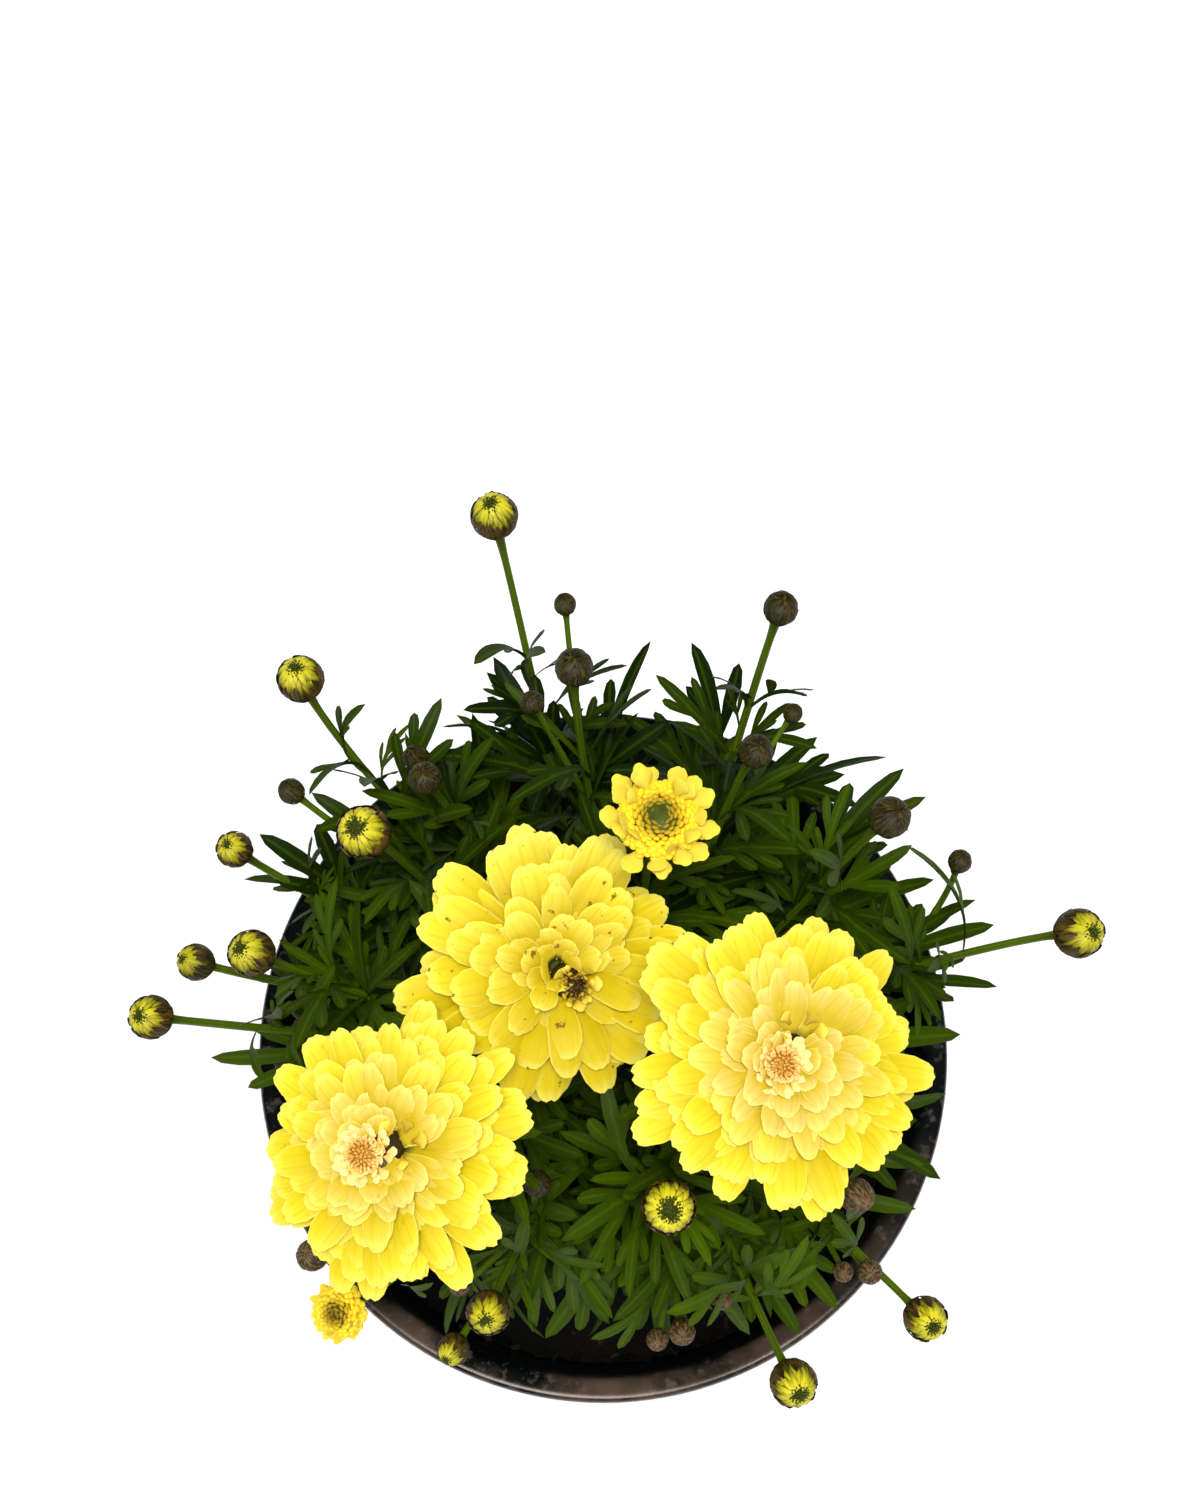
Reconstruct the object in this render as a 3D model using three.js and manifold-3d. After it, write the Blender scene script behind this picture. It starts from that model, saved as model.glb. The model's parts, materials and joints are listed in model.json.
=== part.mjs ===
// A double-flowered yellow marguerite daisy growing in a black plastic nursery pot.
// Millimetres, +Z up, +Y away from the viewer. The origin is the middle of the pot's underside.
import * as THREE from "three";
import { mergeVertices } from "three/addons/utils/BufferGeometryUtils.js";
import Module from "manifold-3d";

const wasm = await Module();
wasm.setup();

// Driving dimensions
const SEAT = 0.3; // clearance where one piece sits on another
const GROWN = 0.35; // clearance kept round a piece when a leaf is placed
const POT = {
  height: 130,
  rimRadius: 85,
  lipDepth: 12,
  lipWidth: 5.5,
  wall: 1.6,
  footRadius: 60,
  floor: 2.4,
  drainHoles: 6,
  drainRadius: 5,
  drainRing: 42,
  segments: 40,
};
const MIX = { belowRim: 19, dome: 2.5, lump: 0.9, segments: 28 };
const TRUNK = { radius: 5.2, buried: 28, standing: 5 };
const LIMB = { radius: 2, innerRing: 9, outerRing: 16, innerRise: 11, outerRise: 8 };
const STEM = { radius: 1.1, sideRadius: 0.75, sides: 5, sideSteps: 3, steps: 7 };
const FLOWER = { neck: 14, cupHeight: 7, cupRadius: 7, petals: 12 };
const LEAF = {
  perShoot: 6,
  tries: 30,
  levels: 9,
  shortest: 30,
  usual: 38,
  longest: 46,
  firstAt: 0.14,
  lastAt: 0.64,
  farthest: 79,
  thickness: 0.8,
  arch: 0.1,
};
const GOLDEN_ANGLE = THREE.MathUtils.degToRad(137.5);

// Where the viewer's eye stands, for reading places off the picture.
// A place is [across, down, height]: pixels of the 1200 x 1500 picture and millimetres above the rim.
const EYE = { right: -0.8, back: -75.9, aboveRim: 492.4, tiltDegrees: 17.03, focalPixels: 2000 };
const PICTURE_CENTRE = [600, 750];

function placeOf([across, down, height]) {
  const tilt = THREE.MathUtils.degToRad(EYE.tiltDegrees);
  const ray = new THREE.Vector3(
    (across - PICTURE_CENTRE[0]) / EYE.focalPixels,
    (PICTURE_CENTRE[1] - down) / EYE.focalPixels,
    -1,
  ).applyAxisAngle(new THREE.Vector3(1, 0, 0), tilt);
  const reach = (EYE.aboveRim - height) / -ray.z;
  return new THREE.Vector3(EYE.right, EYE.back, POT.height + EYE.aboveRim).addScaledVector(ray, reach);
}

// Every shoot in its order round the plant, anticlockwise from the right.
// head is the flower or bud at its tip, through is a point its stalk heads for below the tip.
// side heads sit on stalks that leave the shoot at the fraction from. tips are leaves with a known tip.
const SHOOTS = [
  {
    head: { node: "bud_01", at: [1080, 933, 105], size: 11 },
    through: [985, 940, 72],
    side: [
      { at: [960, 861, 92], size: 5.6, from: 0.6 },
      { at: [853, 938, 80], size: 5, from: 0.45 },
    ],
    tips: [
      [998, 988, 62],
      [978, 900, 80],
      [947, 988, 55],
      [995, 925, 70],
    ],
  },
  {
    head: { node: "bud_02", at: [890, 817, 112], size: 9.5 },
    through: [822, 876, 72],
    side: [],
    tips: [
      [905, 768, 84],
      [927, 797, 84],
      [935, 880, 60],
    ],
  },
  {
    head: { node: "bud_03", at: [756, 751, 112], size: 8 },
    through: [712, 818, 70],
    side: [{ at: [793, 713, 98], size: 4.6, from: 0.75 }],
    tips: [
      [888, 759, 76],
      [818, 737, 72],
    ],
  },
  {
    head: { node: "bud_04", at: [781, 608, 120], size: 8 },
    through: [746, 702, 78],
    side: [],
    tips: [
      [690, 642, 80],
      [846, 775, 58],
    ],
  },
  {
    head: { node: "young_flower_back", at: [660, 815, 128], size: 21.5, disc: true },
    through: [643, 880, 83],
    side: [],
    tips: [[735, 735, 70]],
  },
  {
    head: { node: "bud_05", at: [574, 667, 118], size: 8.8 },
    through: [577, 770, 70],
    side: [
      { node: "bud_05_side", at: [565, 604, 112], size: 5.2, from: 0.72 },
      { at: [532, 702, 100], size: 5.6, from: 0.62 },
    ],
    tips: [
      [652, 641, 72],
      [610, 690, 66],
    ],
  },
  {
    head: { node: "bud_06", at: [494, 515, 125], size: 10.6 },
    through: [532, 665, 62],
    side: [],
    tips: [
      [493, 656, 84],
      [484, 672, 74],
      [455, 715, 56],
    ],
  },
  {
    head: { node: "bud_07", at: [425, 778, 100], size: 7.8 },
    through: [462, 830, 60],
    side: [{ at: [415, 757, 92], size: 6, from: 0.72 }],
    tips: [
      [472, 712, 66],
      [406, 731, 54],
    ],
  },
  {
    head: { node: "bud_08", at: [300, 678, 115], size: 10.5 },
    through: [348, 768, 72],
    side: [],
    tips: [[372, 782, 60]],
  },
  {
    head: { node: "bud_09", at: [363, 832, 112], size: 12 },
    through: [428, 873, 66],
    side: [{ at: [291, 791, 92], size: 6.2, from: 0.66 }],
    tips: [[310, 792, 86]],
  },
  {
    head: { node: "bud_10", at: [234, 849, 88], size: 8.5 },
    through: [300, 892, 52],
    side: [],
    tips: [
      [258, 834, 72],
      [243, 880, 62],
    ],
  },
  {
    head: { node: "bud_11", at: [251, 953, 100], size: 10.5 },
    through: [338, 986, 62],
    side: [{ node: "bud_11_side", at: [195, 962, 86], size: 8.5, from: 0.62 }],
    tips: [[278, 938, 62]],
  },
  {
    head: { node: "bud_12", at: [150, 1017, 100], size: 9.8 },
    through: [235, 1026, 66],
    side: [
      { at: [300, 1010, 52], size: 4.5, from: 0.42 },
      { at: [283, 1062, 48], size: 4.5, from: 0.38 },
    ],
    tips: [
      [210, 1057, 62],
      [265, 960, 60],
    ],
  },
  {
    head: { node: "flower_centre", at: [556, 968, 109], size: 59 },
    through: [508, 945, 67],
    side: [],
    tips: [[408, 900, 72]],
  },
  {
    head: { node: "flower_left", at: [379, 1150, 116], size: 55 },
    through: [464, 1152, 67],
    side: [],
    tips: [[285, 1030, 40]],
  },
  {
    head: { node: "young_flower_front", at: [337, 1313, 64], size: 14.5 },
    through: [405, 1277, 32],
    side: [{ node: "bud_13", at: [312, 1255, 70], size: 7.5, from: 0.55 }],
    tips: [[372, 1295, 30]],
  },
  {
    head: { node: "bud_14", at: [488, 1313, 72], size: 10 },
    through: [508, 1262, 38],
    side: [
      { at: [453, 1350, 42], size: 7.6, from: 0.5 },
      { at: [460, 1285, 45], size: 5.5, from: 0.62 },
      { at: [537, 1183, 74], size: 6.5, from: 0.55 },
    ],
    tips: [
      [447, 1335, 14],
      [525, 1310, 40],
    ],
  },
  {
    head: { node: "bud_15", at: [669, 1207, 92], size: 12 },
    through: [659, 1180, 50],
    side: [],
    tips: [
      [545, 1338, 8],
      [622, 1195, 84],
      [588, 1335, 10],
    ],
  },
  {
    head: { node: "bud_16", at: [682, 1332, 35], size: 6.8 },
    through: [676, 1282, 12],
    side: [
      { at: [657, 1340, 26], size: 5.6, from: 0.7 },
      { at: [722, 1300, 36], size: 5, from: 0.6 },
    ],
    tips: [
      [664, 1350, 6],
      [750, 1335, 16],
    ],
  },
  {
    head: { node: "bud_17", at: [794, 1384, 78], size: 10.5 },
    through: [748, 1292, 42],
    side: [],
    tips: [
      [800, 1335, 24],
      [838, 1310, 24],
      [770, 1320, 30],
    ],
  },
  {
    head: { node: "bud_18", at: [926, 1319, 72], size: 10 },
    through: [866, 1258, 42],
    side: [
      { at: [870, 1272, 62], size: 6, from: 0.72 },
      { at: [843, 1272, 55], size: 5, from: 0.62 },
    ],
    tips: [
      [870, 1260, 46],
      [917, 1208, 40],
      [925, 1165, 36],
    ],
  },
  {
    head: { node: "flower_right", at: [789, 1057, 118], size: 61 },
    through: [703, 1069, 73],
    side: [{ node: "bud_18_side", at: [857, 1196, 82], size: 8, from: 0.5 }],
    tips: [
      [946, 1092, 46],
      [960, 1035, 56],
      [940, 1180, 34],
    ],
  },
];

// Colours by finish
const FINISH = {
  pot: new THREE.MeshStandardMaterial({ color: 0x0d1214, roughness: 0.38, metalness: 0 }),
  mix: new THREE.MeshStandardMaterial({ color: 0x1d1512, roughness: 0.95, metalness: 0 }),
  wood: new THREE.MeshStandardMaterial({ color: 0x5b4a32, roughness: 0.85, metalness: 0 }),
  leaf: new THREE.MeshStandardMaterial({ color: 0x2f4a0e, roughness: 0.6, metalness: 0 }),
  bract: new THREE.MeshStandardMaterial({ color: 0x5a4a22, roughness: 0.8, metalness: 0 }),
  bud: new THREE.MeshStandardMaterial({ color: 0x6b5c24, roughness: 0.75, metalness: 0 }),
  petal: new THREE.MeshStandardMaterial({ color: 0xf6ea2c, roughness: 0.55, metalness: 0 }),
  gold: new THREE.MeshStandardMaterial({ color: 0xe6c21c, roughness: 0.55, metalness: 0 }),
  disc: new THREE.MeshStandardMaterial({ color: 0xe8c860, roughness: 0.7, metalness: 0 }),
};

// Between three.js geometry and closed solids
function solidOf(geometry) {
  const bare = new THREE.BufferGeometry();
  const loose = geometry.index ? geometry.toNonIndexed() : geometry;
  bare.setAttribute("position", loose.getAttribute("position"));
  const merged = mergeVertices(bare, 1e-4);
  return new wasm.Manifold(
    new wasm.Mesh({
      numProp: 3,
      vertProperties: merged.attributes.position.array,
      triVerts: new Uint32Array(merged.index.array),
    }),
  );
}

function geometryOf(solid) {
  const mesh = solid.getMesh();
  const positions = new Float32Array(mesh.numVert * 3);
  for (let i = 0; i < mesh.numVert; i++) {
    positions.set(mesh.vertProperties.subarray(i * mesh.numProp, i * mesh.numProp + 3), i * 3);
  }
  const geometry = new THREE.BufferGeometry();
  geometry.setAttribute("position", new THREE.BufferAttribute(positions, 3));
  geometry.setIndex(new THREE.BufferAttribute(new Uint32Array(mesh.triVerts), 1));
  geometry.computeVertexNormals();
  return geometry;
}

function joined(solids) {
  return wasm.Manifold.union(solids);
}

// A turned solid about Z from [radius, height] points
function turned(profile, segments) {
  const points = profile.map(([radius, height]) => new THREE.Vector2(radius, height));
  return solidOf(new THREE.LatheGeometry(points, segments).rotateX(Math.PI / 2));
}

// A rod of even thickness along a curve
function rod(curve, radius, steps) {
  const section = new THREE.Shape();
  for (let i = 0; i < STEM.sides; i++) {
    const turn = (i * 2 * Math.PI) / STEM.sides;
    const corner = [radius * Math.cos(turn), radius * Math.sin(turn)];
    if (i === 0) section.moveTo(...corner);
    else section.lineTo(...corner);
  }
  section.closePath();
  const options = { steps, bevelEnabled: false, extrudePath: curve };
  return solidOf(new THREE.ExtrudeGeometry(section, options));
}

// Moves a solid modelled along +Z so that its origin is at a point and +Z runs along an axis
function stoodAt(solid, point, axis) {
  const turn = new THREE.Quaternion().setFromUnitVectors(new THREE.Vector3(0, 0, 1), axis);
  const matrix = new THREE.Matrix4().compose(point, turn, new THREE.Vector3(1, 1, 1));
  return solid.transform(matrix.elements);
}

// Pot: a thrown-over lip, a tapering wall and a floor with drain holes
function innerRadiusAt(height) {
  const lipFoot = POT.rimRadius - POT.lipWidth;
  const share = height / POT.height;
  return POT.footRadius - POT.wall + share * (lipFoot - POT.footRadius + POT.wall);
}

function pot() {
  const { height, rimRadius, lipDepth, lipWidth, wall, footRadius, floor } = POT;
  const skirtTop = height - 3.5;
  const skirtInside = rimRadius - wall;
  const body = turned(
    [
      [0, 0],
      [footRadius - 2, 0],
      [footRadius, 2],
      [innerRadiusAt(skirtTop) + wall, skirtTop],
      [skirtInside, skirtTop],
      [skirtInside, height - lipDepth],
      [rimRadius, height - lipDepth],
      [rimRadius, height - 1.5],
      [rimRadius - 0.3 * lipWidth, height],
      [rimRadius - 0.75 * lipWidth, height],
      [innerRadiusAt(height - 2), height - 2],
      [innerRadiusAt(floor), floor],
      [0, floor],
    ],
    POT.segments,
  );
  const holes = [];
  for (let i = 0; i < POT.drainHoles; i++) {
    const turn = (i * 2 * Math.PI) / POT.drainHoles;
    const drill = new THREE.CylinderGeometry(POT.drainRadius, POT.drainRadius, 4 * floor, 8);
    drill.rotateX(Math.PI / 2);
    drill.translate(POT.drainRing * Math.cos(turn), POT.drainRing * Math.sin(turn), 0);
    holes.push(solidOf(drill));
  }
  return body.subtract(joined(holes));
}

// Potting mix: fills the pot to below the rim, with an uneven top
const MIX_TOP = POT.height - MIX.belowRim;

function pottingMix() {
  const bottom = POT.floor + SEAT;
  const clear = SEAT + 0.1;
  const profile = [
    [0, bottom],
    [innerRadiusAt(bottom) - clear, bottom],
    [innerRadiusAt(MIX_TOP) - clear, MIX_TOP],
    [60, MIX_TOP + 0.3 * MIX.dome],
    [40, MIX_TOP + 0.6 * MIX.dome],
    [20, MIX_TOP + MIX.dome],
    [0, MIX_TOP + MIX.dome],
  ];
  const points = profile.map(([radius, height]) => new THREE.Vector2(radius, height));
  const geometry = new THREE.LatheGeometry(points, MIX.segments).rotateX(Math.PI / 2);
  const position = geometry.getAttribute("position");
  const edge = innerRadiusAt(MIX_TOP) - 2;
  for (let i = 0; i < position.count; i++) {
    const [x, y, z] = [position.getX(i), position.getY(i), position.getZ(i)];
    if (z < MIX_TOP || Math.hypot(x, y) > edge) continue;
    position.setZ(i, z + MIX.lump * Math.sin(x / 5) * Math.cos(y / 6));
  }
  return solidOf(geometry);
}

// Woody base: a short trunk rooted in the mix, with one limb to the foot of each shoot
function outwardOf(index) {
  const turn = (index * 2 * Math.PI) / SHOOTS.length;
  return new THREE.Vector3(Math.cos(turn), Math.sin(turn), 0);
}

function footOf(index) {
  const inner = index % 2 === 0;
  const foot = outwardOf(index).multiplyScalar(inner ? LIMB.innerRing : LIMB.outerRing);
  foot.z = MIX_TOP + (inner ? LIMB.innerRise : LIMB.outerRise);
  return foot;
}

function leanOf(index) {
  const inner = index % 2 === 0;
  const lean = outwardOf(index).multiplyScalar(inner ? 0.35 : 0.6);
  lean.z = 0.8;
  return lean.normalize();
}

function woodyBase(extra) {
  const { radius, buried, standing } = TRUNK;
  const foot = MIX_TOP - buried;
  const top = MIX_TOP + standing;
  const trunk = turned(
    [
      [0, foot - extra],
      [0.6 * radius + extra, foot - extra],
      [radius + extra, MIX_TOP],
      [radius + extra, top],
      [0.6 * radius + extra, top + 3 + extra],
      [0, top + 3 + extra],
    ],
    10,
  );
  const limbs = SHOOTS.map((_, index) => {
    const end = footOf(index);
    const bend = end.clone().addScaledVector(leanOf(index), -5);
    const start = new THREE.Vector3(0, 0, top - 2);
    return rod(new THREE.QuadraticBezierCurve3(start, bend, end), LIMB.radius + extra, 2);
  });
  return joined([trunk, ...limbs]);
}

// Heads: a head stands on the end of its stalk, and its axis is where the stalk points
const isFlower = ({ node }) => Boolean(node?.startsWith("flower"));
const isYoungFlower = ({ node }) => Boolean(node?.startsWith("young_flower"));

function neckLength(head) {
  return isFlower(head) ? FLOWER.neck : 0.5 * head.size;
}

function axisBetween(below, above) {
  return above.clone().sub(below).normalize();
}

function budSolid(size) {
  return turned(
    [
      [0, 0],
      [0.2 * size, 0],
      [0.46 * size, 0.24 * size],
      [0.48 * size, 0.62 * size],
      [0.26 * size, 0.92 * size],
      [0, 0.88 * size],
    ],
    8,
  );
}

// A cup of green-brown bracts under the petals
function cupSolid(radius, height) {
  return turned(
    [
      [0, 0],
      [0.3 * radius, 0],
      [0.85 * radius, 0.45 * height],
      [radius, height],
      [0, height],
    ],
    10,
  );
}

function discSolid(radius, height) {
  return turned(
    [
      [0, 0],
      [radius, 0],
      [0.8 * radius, 0.7 * height],
      [0, height],
    ],
    9,
  );
}

// Ray petals: one surface of stacked rings. A ring is [radius, height, turned by], and a ring
// that has its third number is scalloped, with one scallop to each petal.
const SCALLOP = [0.8, 1, 0.97];

function petalSolid(rings, bottom, top) {
  const columns = FLOWER.petals * SCALLOP.length;
  const corners = rings.map(([radius, height, shift]) => {
    const ring = [];
    for (let i = 0; i < columns; i++) {
      const turn = (i * 2 * Math.PI) / columns;
      const reach = shift === undefined ? radius : radius * SCALLOP[(i + shift) % SCALLOP.length];
      ring.push(new THREE.Vector3(reach * Math.cos(turn), reach * Math.sin(turn), height));
    }
    return ring;
  });
  const points = [];
  for (let i = 0; i < columns; i++) {
    const next = (i + 1) % columns;
    points.push(new THREE.Vector3(0, 0, bottom), corners[0][next], corners[0][i]);
    for (let row = 0; row + 1 < rings.length; row++) {
      const [low, high] = [corners[row], corners[row + 1]];
      points.push(low[i], low[next], high[next], low[i], high[next], high[i]);
    }
    points.push(new THREE.Vector3(0, 0, top), corners.at(-1)[i], corners.at(-1)[next]);
  }
  return solidOf(new THREE.BufferGeometry().setFromPoints(points));
}

function flowerPetals(size) {
  const radius = size / 2;
  const rings = [
    [5, 0],
    [radius, -1.6, 0],
    [radius, -0.5, 0],
    [7, 3.2],
    [0.8 * radius, 4.4, 1],
    [0.8 * radius, 5.5, 1],
    [6, 6.8],
    [0.55 * radius, 9.6, 0],
    [0.52 * radius, 10.7, 0],
    [4.8, 8.6],
  ];
  return petalSolid(rings, 0, 8.2);
}

function youngPetals(size) {
  const radius = size / 2;
  const rings = [
    [0.25 * size, 0],
    [radius, 2, 0],
    [radius, 3, 0],
    [0.28 * size, 3],
  ];
  return petalSolid(rings, 0, 3);
}

// The pieces of one head, modelled along +Z from its neck
function headPieces(head) {
  const { node, size } = head;
  if (isFlower(head)) {
    const petalsAt = FLOWER.cupHeight + SEAT;
    const discAt = petalsAt + 8.6 + SEAT;
    return [
      [`${node}_bract_cup`, FINISH.bract, cupSolid(FLOWER.cupRadius, FLOWER.cupHeight)],
      [`${node}_petals`, FINISH.petal, flowerPetals(size).translate([0, 0, petalsAt])],
      [`${node}_disc`, FINISH.disc, discSolid(4.2, 3).translate([0, 0, discAt])],
    ];
  }
  if (isYoungFlower(head)) {
    const cupHeight = 0.28 * size;
    const petalsAt = cupHeight + SEAT;
    const discAt = petalsAt + 3 + SEAT;
    const pieces = [
      [`${node}_bract_cup`, FINISH.bract, cupSolid(0.3 * size, cupHeight)],
      [`${node}_petals`, FINISH.gold, youngPetals(size).translate([0, 0, petalsAt])],
    ];
    if (head.disc) {
      const disc = discSolid(0.26 * size, 0.2 * size).translate([0, 0, discAt]);
      pieces.push([`${node}_disc`, FINISH.gold, disc]);
    }
    return pieces;
  }
  return [[node, FINISH.bud, budSolid(size)]];
}

// The room that leaves keep free round a head
function headKeepout(head) {
  const { size } = head;
  if (isFlower(head)) {
    const radius = size / 2 + GROWN;
    const underside = FLOWER.cupHeight - 2;
    return turned(
      [
        [0, -GROWN],
        [0.3 * FLOWER.cupRadius + GROWN, -GROWN],
        [FLOWER.cupRadius + 1, underside],
        [radius, underside],
        [radius, FLOWER.cupHeight + 1.5],
        [0.6 * radius, FLOWER.cupHeight + 12],
        [0, FLOWER.cupHeight + 13],
      ],
      24,
    );
  }
  if (isYoungFlower(head)) {
    const wide = discSolid(size / 2 + GROWN, 0.7 * size).translate([0, 0, 0.25 * size]);
    return joined([wide, cupSolid(0.3 * size + GROWN, 0.4 * size).translate([0, 0, -GROWN])]);
  }
  return budSolid(size + 2 * GROWN).translate([0, 0, -GROWN]);
}

// Stems: the main stalk from the woody base to the neck of the head, and a stalk to each side head
function mainStalk(shoot, index) {
  const at = placeOf(shoot.head.at);
  const through = placeOf(shoot.through);
  const axis = axisBetween(through, at);
  const neck = at.clone().addScaledVector(axis, -neckLength(shoot.head));
  const lean = leanOf(index);
  const foot = footOf(index).addScaledVector(lean, SEAT);
  const rise = foot.clone().addScaledVector(lean, 22);
  const end = neck.clone().addScaledVector(axis, -SEAT);
  return { curve: new THREE.CubicBezierCurve3(foot, rise, through, end), neck, axis };
}

function sideStalk(main, side) {
  const at = placeOf(side.at);
  const start = main.curve.getPoint(side.from);
  const along = main.curve.getTangent(side.from);
  const reach = at.distanceTo(start);
  const bend = start.clone().addScaledVector(along, 0.35 * reach);
  const below = at.clone().add(new THREE.Vector3(0, 0, -0.45 * reach));
  bend.lerp(below, 0.5);
  const axis = axisBetween(bend, at);
  const neck = at.clone().addScaledVector(axis, -neckLength(side));
  const seat = side.node ? SEAT : -0.3 * side.size;
  const end = neck.clone().addScaledVector(axis, -seat);
  return { curve: new THREE.QuadraticBezierCurve3(start, bend, end), neck, axis };
}

// Leaves: a lobed blade from a point on the stem to its tip
const HALF_BLADE = [
  [0, 0.025],
  [0.34, 0.035],
  [0.68, 0.135],
  [0.54, 0.05],
];

function bladeSolid({ from, tip }, extra) {
  const length = from.distanceTo(tip);
  const half = HALF_BLADE.map(([x, y]) => [x * length, y * length + extra]);
  const outline = new THREE.Shape();
  outline.moveTo(...half[0]);
  half.slice(1).forEach((point) => outline.lineTo(...point));
  outline.lineTo(length + extra, 0);
  half.toReversed().forEach(([x, y]) => outline.lineTo(x, -y));
  outline.closePath();
  const thickness = LEAF.thickness + 2 * extra;
  const geometry = new THREE.ExtrudeGeometry(outline, { depth: thickness, bevelEnabled: false });
  geometry.translate(0, 0, -thickness / 2);
  const position = geometry.getAttribute("position");
  for (let i = 0; i < position.count; i++) {
    const share = Math.min(1, position.getX(i) / length);
    const arch = 4 * LEAF.arch * length * share * (1 - share);
    const fold = 0.3 * Math.abs(position.getY(i));
    position.setZ(i, position.getZ(i) + arch + fold);
  }
  const along = axisBetween(from, tip);
  const across = new THREE.Vector3(0, 0, 1).cross(along).normalize();
  const normal = along.clone().cross(across);
  geometry.applyMatrix4(new THREE.Matrix4().makeBasis(along, across, normal).setPosition(from));
  return solidOf(geometry);
}

// Keeps a leaf tip over the pot, above the mix, and higher than the rim near the wall
function keptClear(tip) {
  const reach = Math.hypot(tip.x, tip.y);
  const shorter = Math.min(1, LEAF.farthest / reach);
  const lowest = reach > 66 ? POT.height + 7 : MIX_TOP + 6;
  return new THREE.Vector3(tip.x * shorter, tip.y * shorter, Math.max(tip.z, lowest));
}

// Leaves by rule: they spiral up the stem and spread less towards the top
function leafByRule(curve, index, j) {
  const share = (j % LEAF.levels) / (LEAF.levels - 1);
  const at = THREE.MathUtils.lerp(LEAF.firstAt, LEAF.lastAt, share);
  const from = curve.getPoint(at);
  const along = curve.getTangent(at);
  const side = new THREE.Vector3(0, 0, 1).cross(along).normalize();
  side.applyAxisAngle(along, j * GOLDEN_ANGLE + index);
  const spread = THREE.MathUtils.degToRad(THREE.MathUtils.lerp(72, 40, share));
  const swing = (1 + Math.sin(1.7 * j + index)) / 2;
  const length = THREE.MathUtils.lerp(LEAF.shortest, LEAF.longest, swing);
  const direction = along.multiplyScalar(Math.cos(spread)).addScaledVector(side, Math.sin(spread));
  return { from, tip: keptClear(from.clone().addScaledVector(direction, length)) };
}

// A leaf with a known tip leaves the stem where its length comes out most like a leaf's
function leafToTip(curve, place) {
  const tip = placeOf(place);
  const points = curve.getPoints(30).slice(4, 22);
  const misfit = (point) => Math.abs(point.distanceTo(tip) - LEAF.usual);
  const from = points.reduce((best, next) => (misfit(next) < misfit(best) ? next : best));
  return { from, tip };
}

// Assembly
const plant = new THREE.Group();

function addNode(name, solid, material) {
  const mesh = new THREE.Mesh(geometryOf(solid), material);
  mesh.name = name;
  plant.add(mesh);
}

const mixSolid = pottingMix().subtract(woodyBase(SEAT));
const potSolid = pot();
addNode("pot", potSolid, FINISH.pot);
addNode("potting_mix", mixSolid, FINISH.mix);
addNode("woody_base", woodyBase(0), FINISH.wood);

const stalks = SHOOTS.map((shoot, index) => {
  const main = mainStalk(shoot, index);
  return { main, sides: shoot.side.map((side) => sideStalk(main, side)) };
});

// Heads with nodes of their own
const heads = [];
SHOOTS.forEach((shoot, index) => {
  const { main, sides } = stalks[index];
  heads.push([shoot.head, main]);
  shoot.side.forEach((side, j) => {
    if (side.node) heads.push([side, sides[j]]);
  });
});
for (const [head, { neck, axis }] of heads) {
  for (const [name, material, solid] of headPieces(head)) {
    addNode(name, stoodAt(solid, neck, axis), material);
  }
}
const headKeepouts = heads.map(([head, { neck, axis }]) => stoodAt(headKeepout(head), neck, axis));

// Stems, with the smallest buds grown in one with them
function stemSolid(shoot, { main, sides }, extra) {
  const rods = [rod(main.curve, STEM.radius + extra, STEM.steps)];
  shoot.side.forEach((side, j) => {
    rods.push(rod(sides[j].curve, STEM.sideRadius + extra, STEM.sideSteps));
    if (side.node) return;
    const bud = budSolid(side.size + 2 * extra).translate([0, 0, -extra]);
    rods.push(stoodAt(bud, sides[j].neck, sides[j].axis));
  });
  return joined(rods);
}

const shoots = SHOOTS.map((shoot, index) => stemSolid(shoot, stalks[index], 0));
const stemKeepouts = SHOOTS.map((shoot, index) => stemSolid(shoot, stalks[index], GROWN));
const baseKeepout = joined([potSolid, mixSolid, woodyBase(GROWN), ...headKeepouts]);

// A leaf is kept only where it is clear of everything but its own stem
const leafKeepouts = [];
function isClear(blade, index) {
  const others = stemKeepouts.filter((_, other) => other !== index);
  return [baseKeepout, ...others, ...leafKeepouts].every((other) => blade.intersect(other).isEmpty());
}

const leavesOn = SHOOTS.map(() => 0);
function tryLeaf(leaf, index) {
  const blade = bladeSolid(leaf, 0);
  if (!isClear(blade, index)) return;
  shoots[index] = shoots[index].add(blade);
  leafKeepouts.push(bladeSolid(leaf, GROWN));
  leavesOn[index] += 1;
}

SHOOTS.forEach((shoot, index) => {
  shoot.tips.forEach((place) => tryLeaf(leafToTip(stalks[index].main.curve, place), index));
});
for (let j = 0; j < LEAF.tries; j++) {
  SHOOTS.forEach((_, index) => {
    if (leavesOn[index] >= LEAF.perShoot) return;
    tryLeaf(leafByRule(stalks[index].main.curve, index, j), index);
  });
}

const FINEST = 0.05; // shorter edges are merged away where a leaf joins its stem
shoots.forEach((shoot, index) => {
  const name = `shoot_${String(index + 1).padStart(2, "0")}`;
  addNode(name, shoot.simplify(FINEST), FINISH.leaf);
});

export default plant;
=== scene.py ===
# %% [markdown]
# # A potted marguerite daisy
# The plant is a double yellow marguerite in a black nursery pot, seen from above. Its pieces
# grow by rules: petals and bracts sit in spirals, leaves climb their stems, stems taper along
# a curve. So most of it is grown by Geometry Nodes from a few shapes that are built one by one.
# The frame gives the true size and place of everything. This script only makes it look alive.

# %% Load the frame
import json
import math
import random
from collections import Counter

import bpy
from mathutils import Matrix, Vector, geometry, noise

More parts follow.
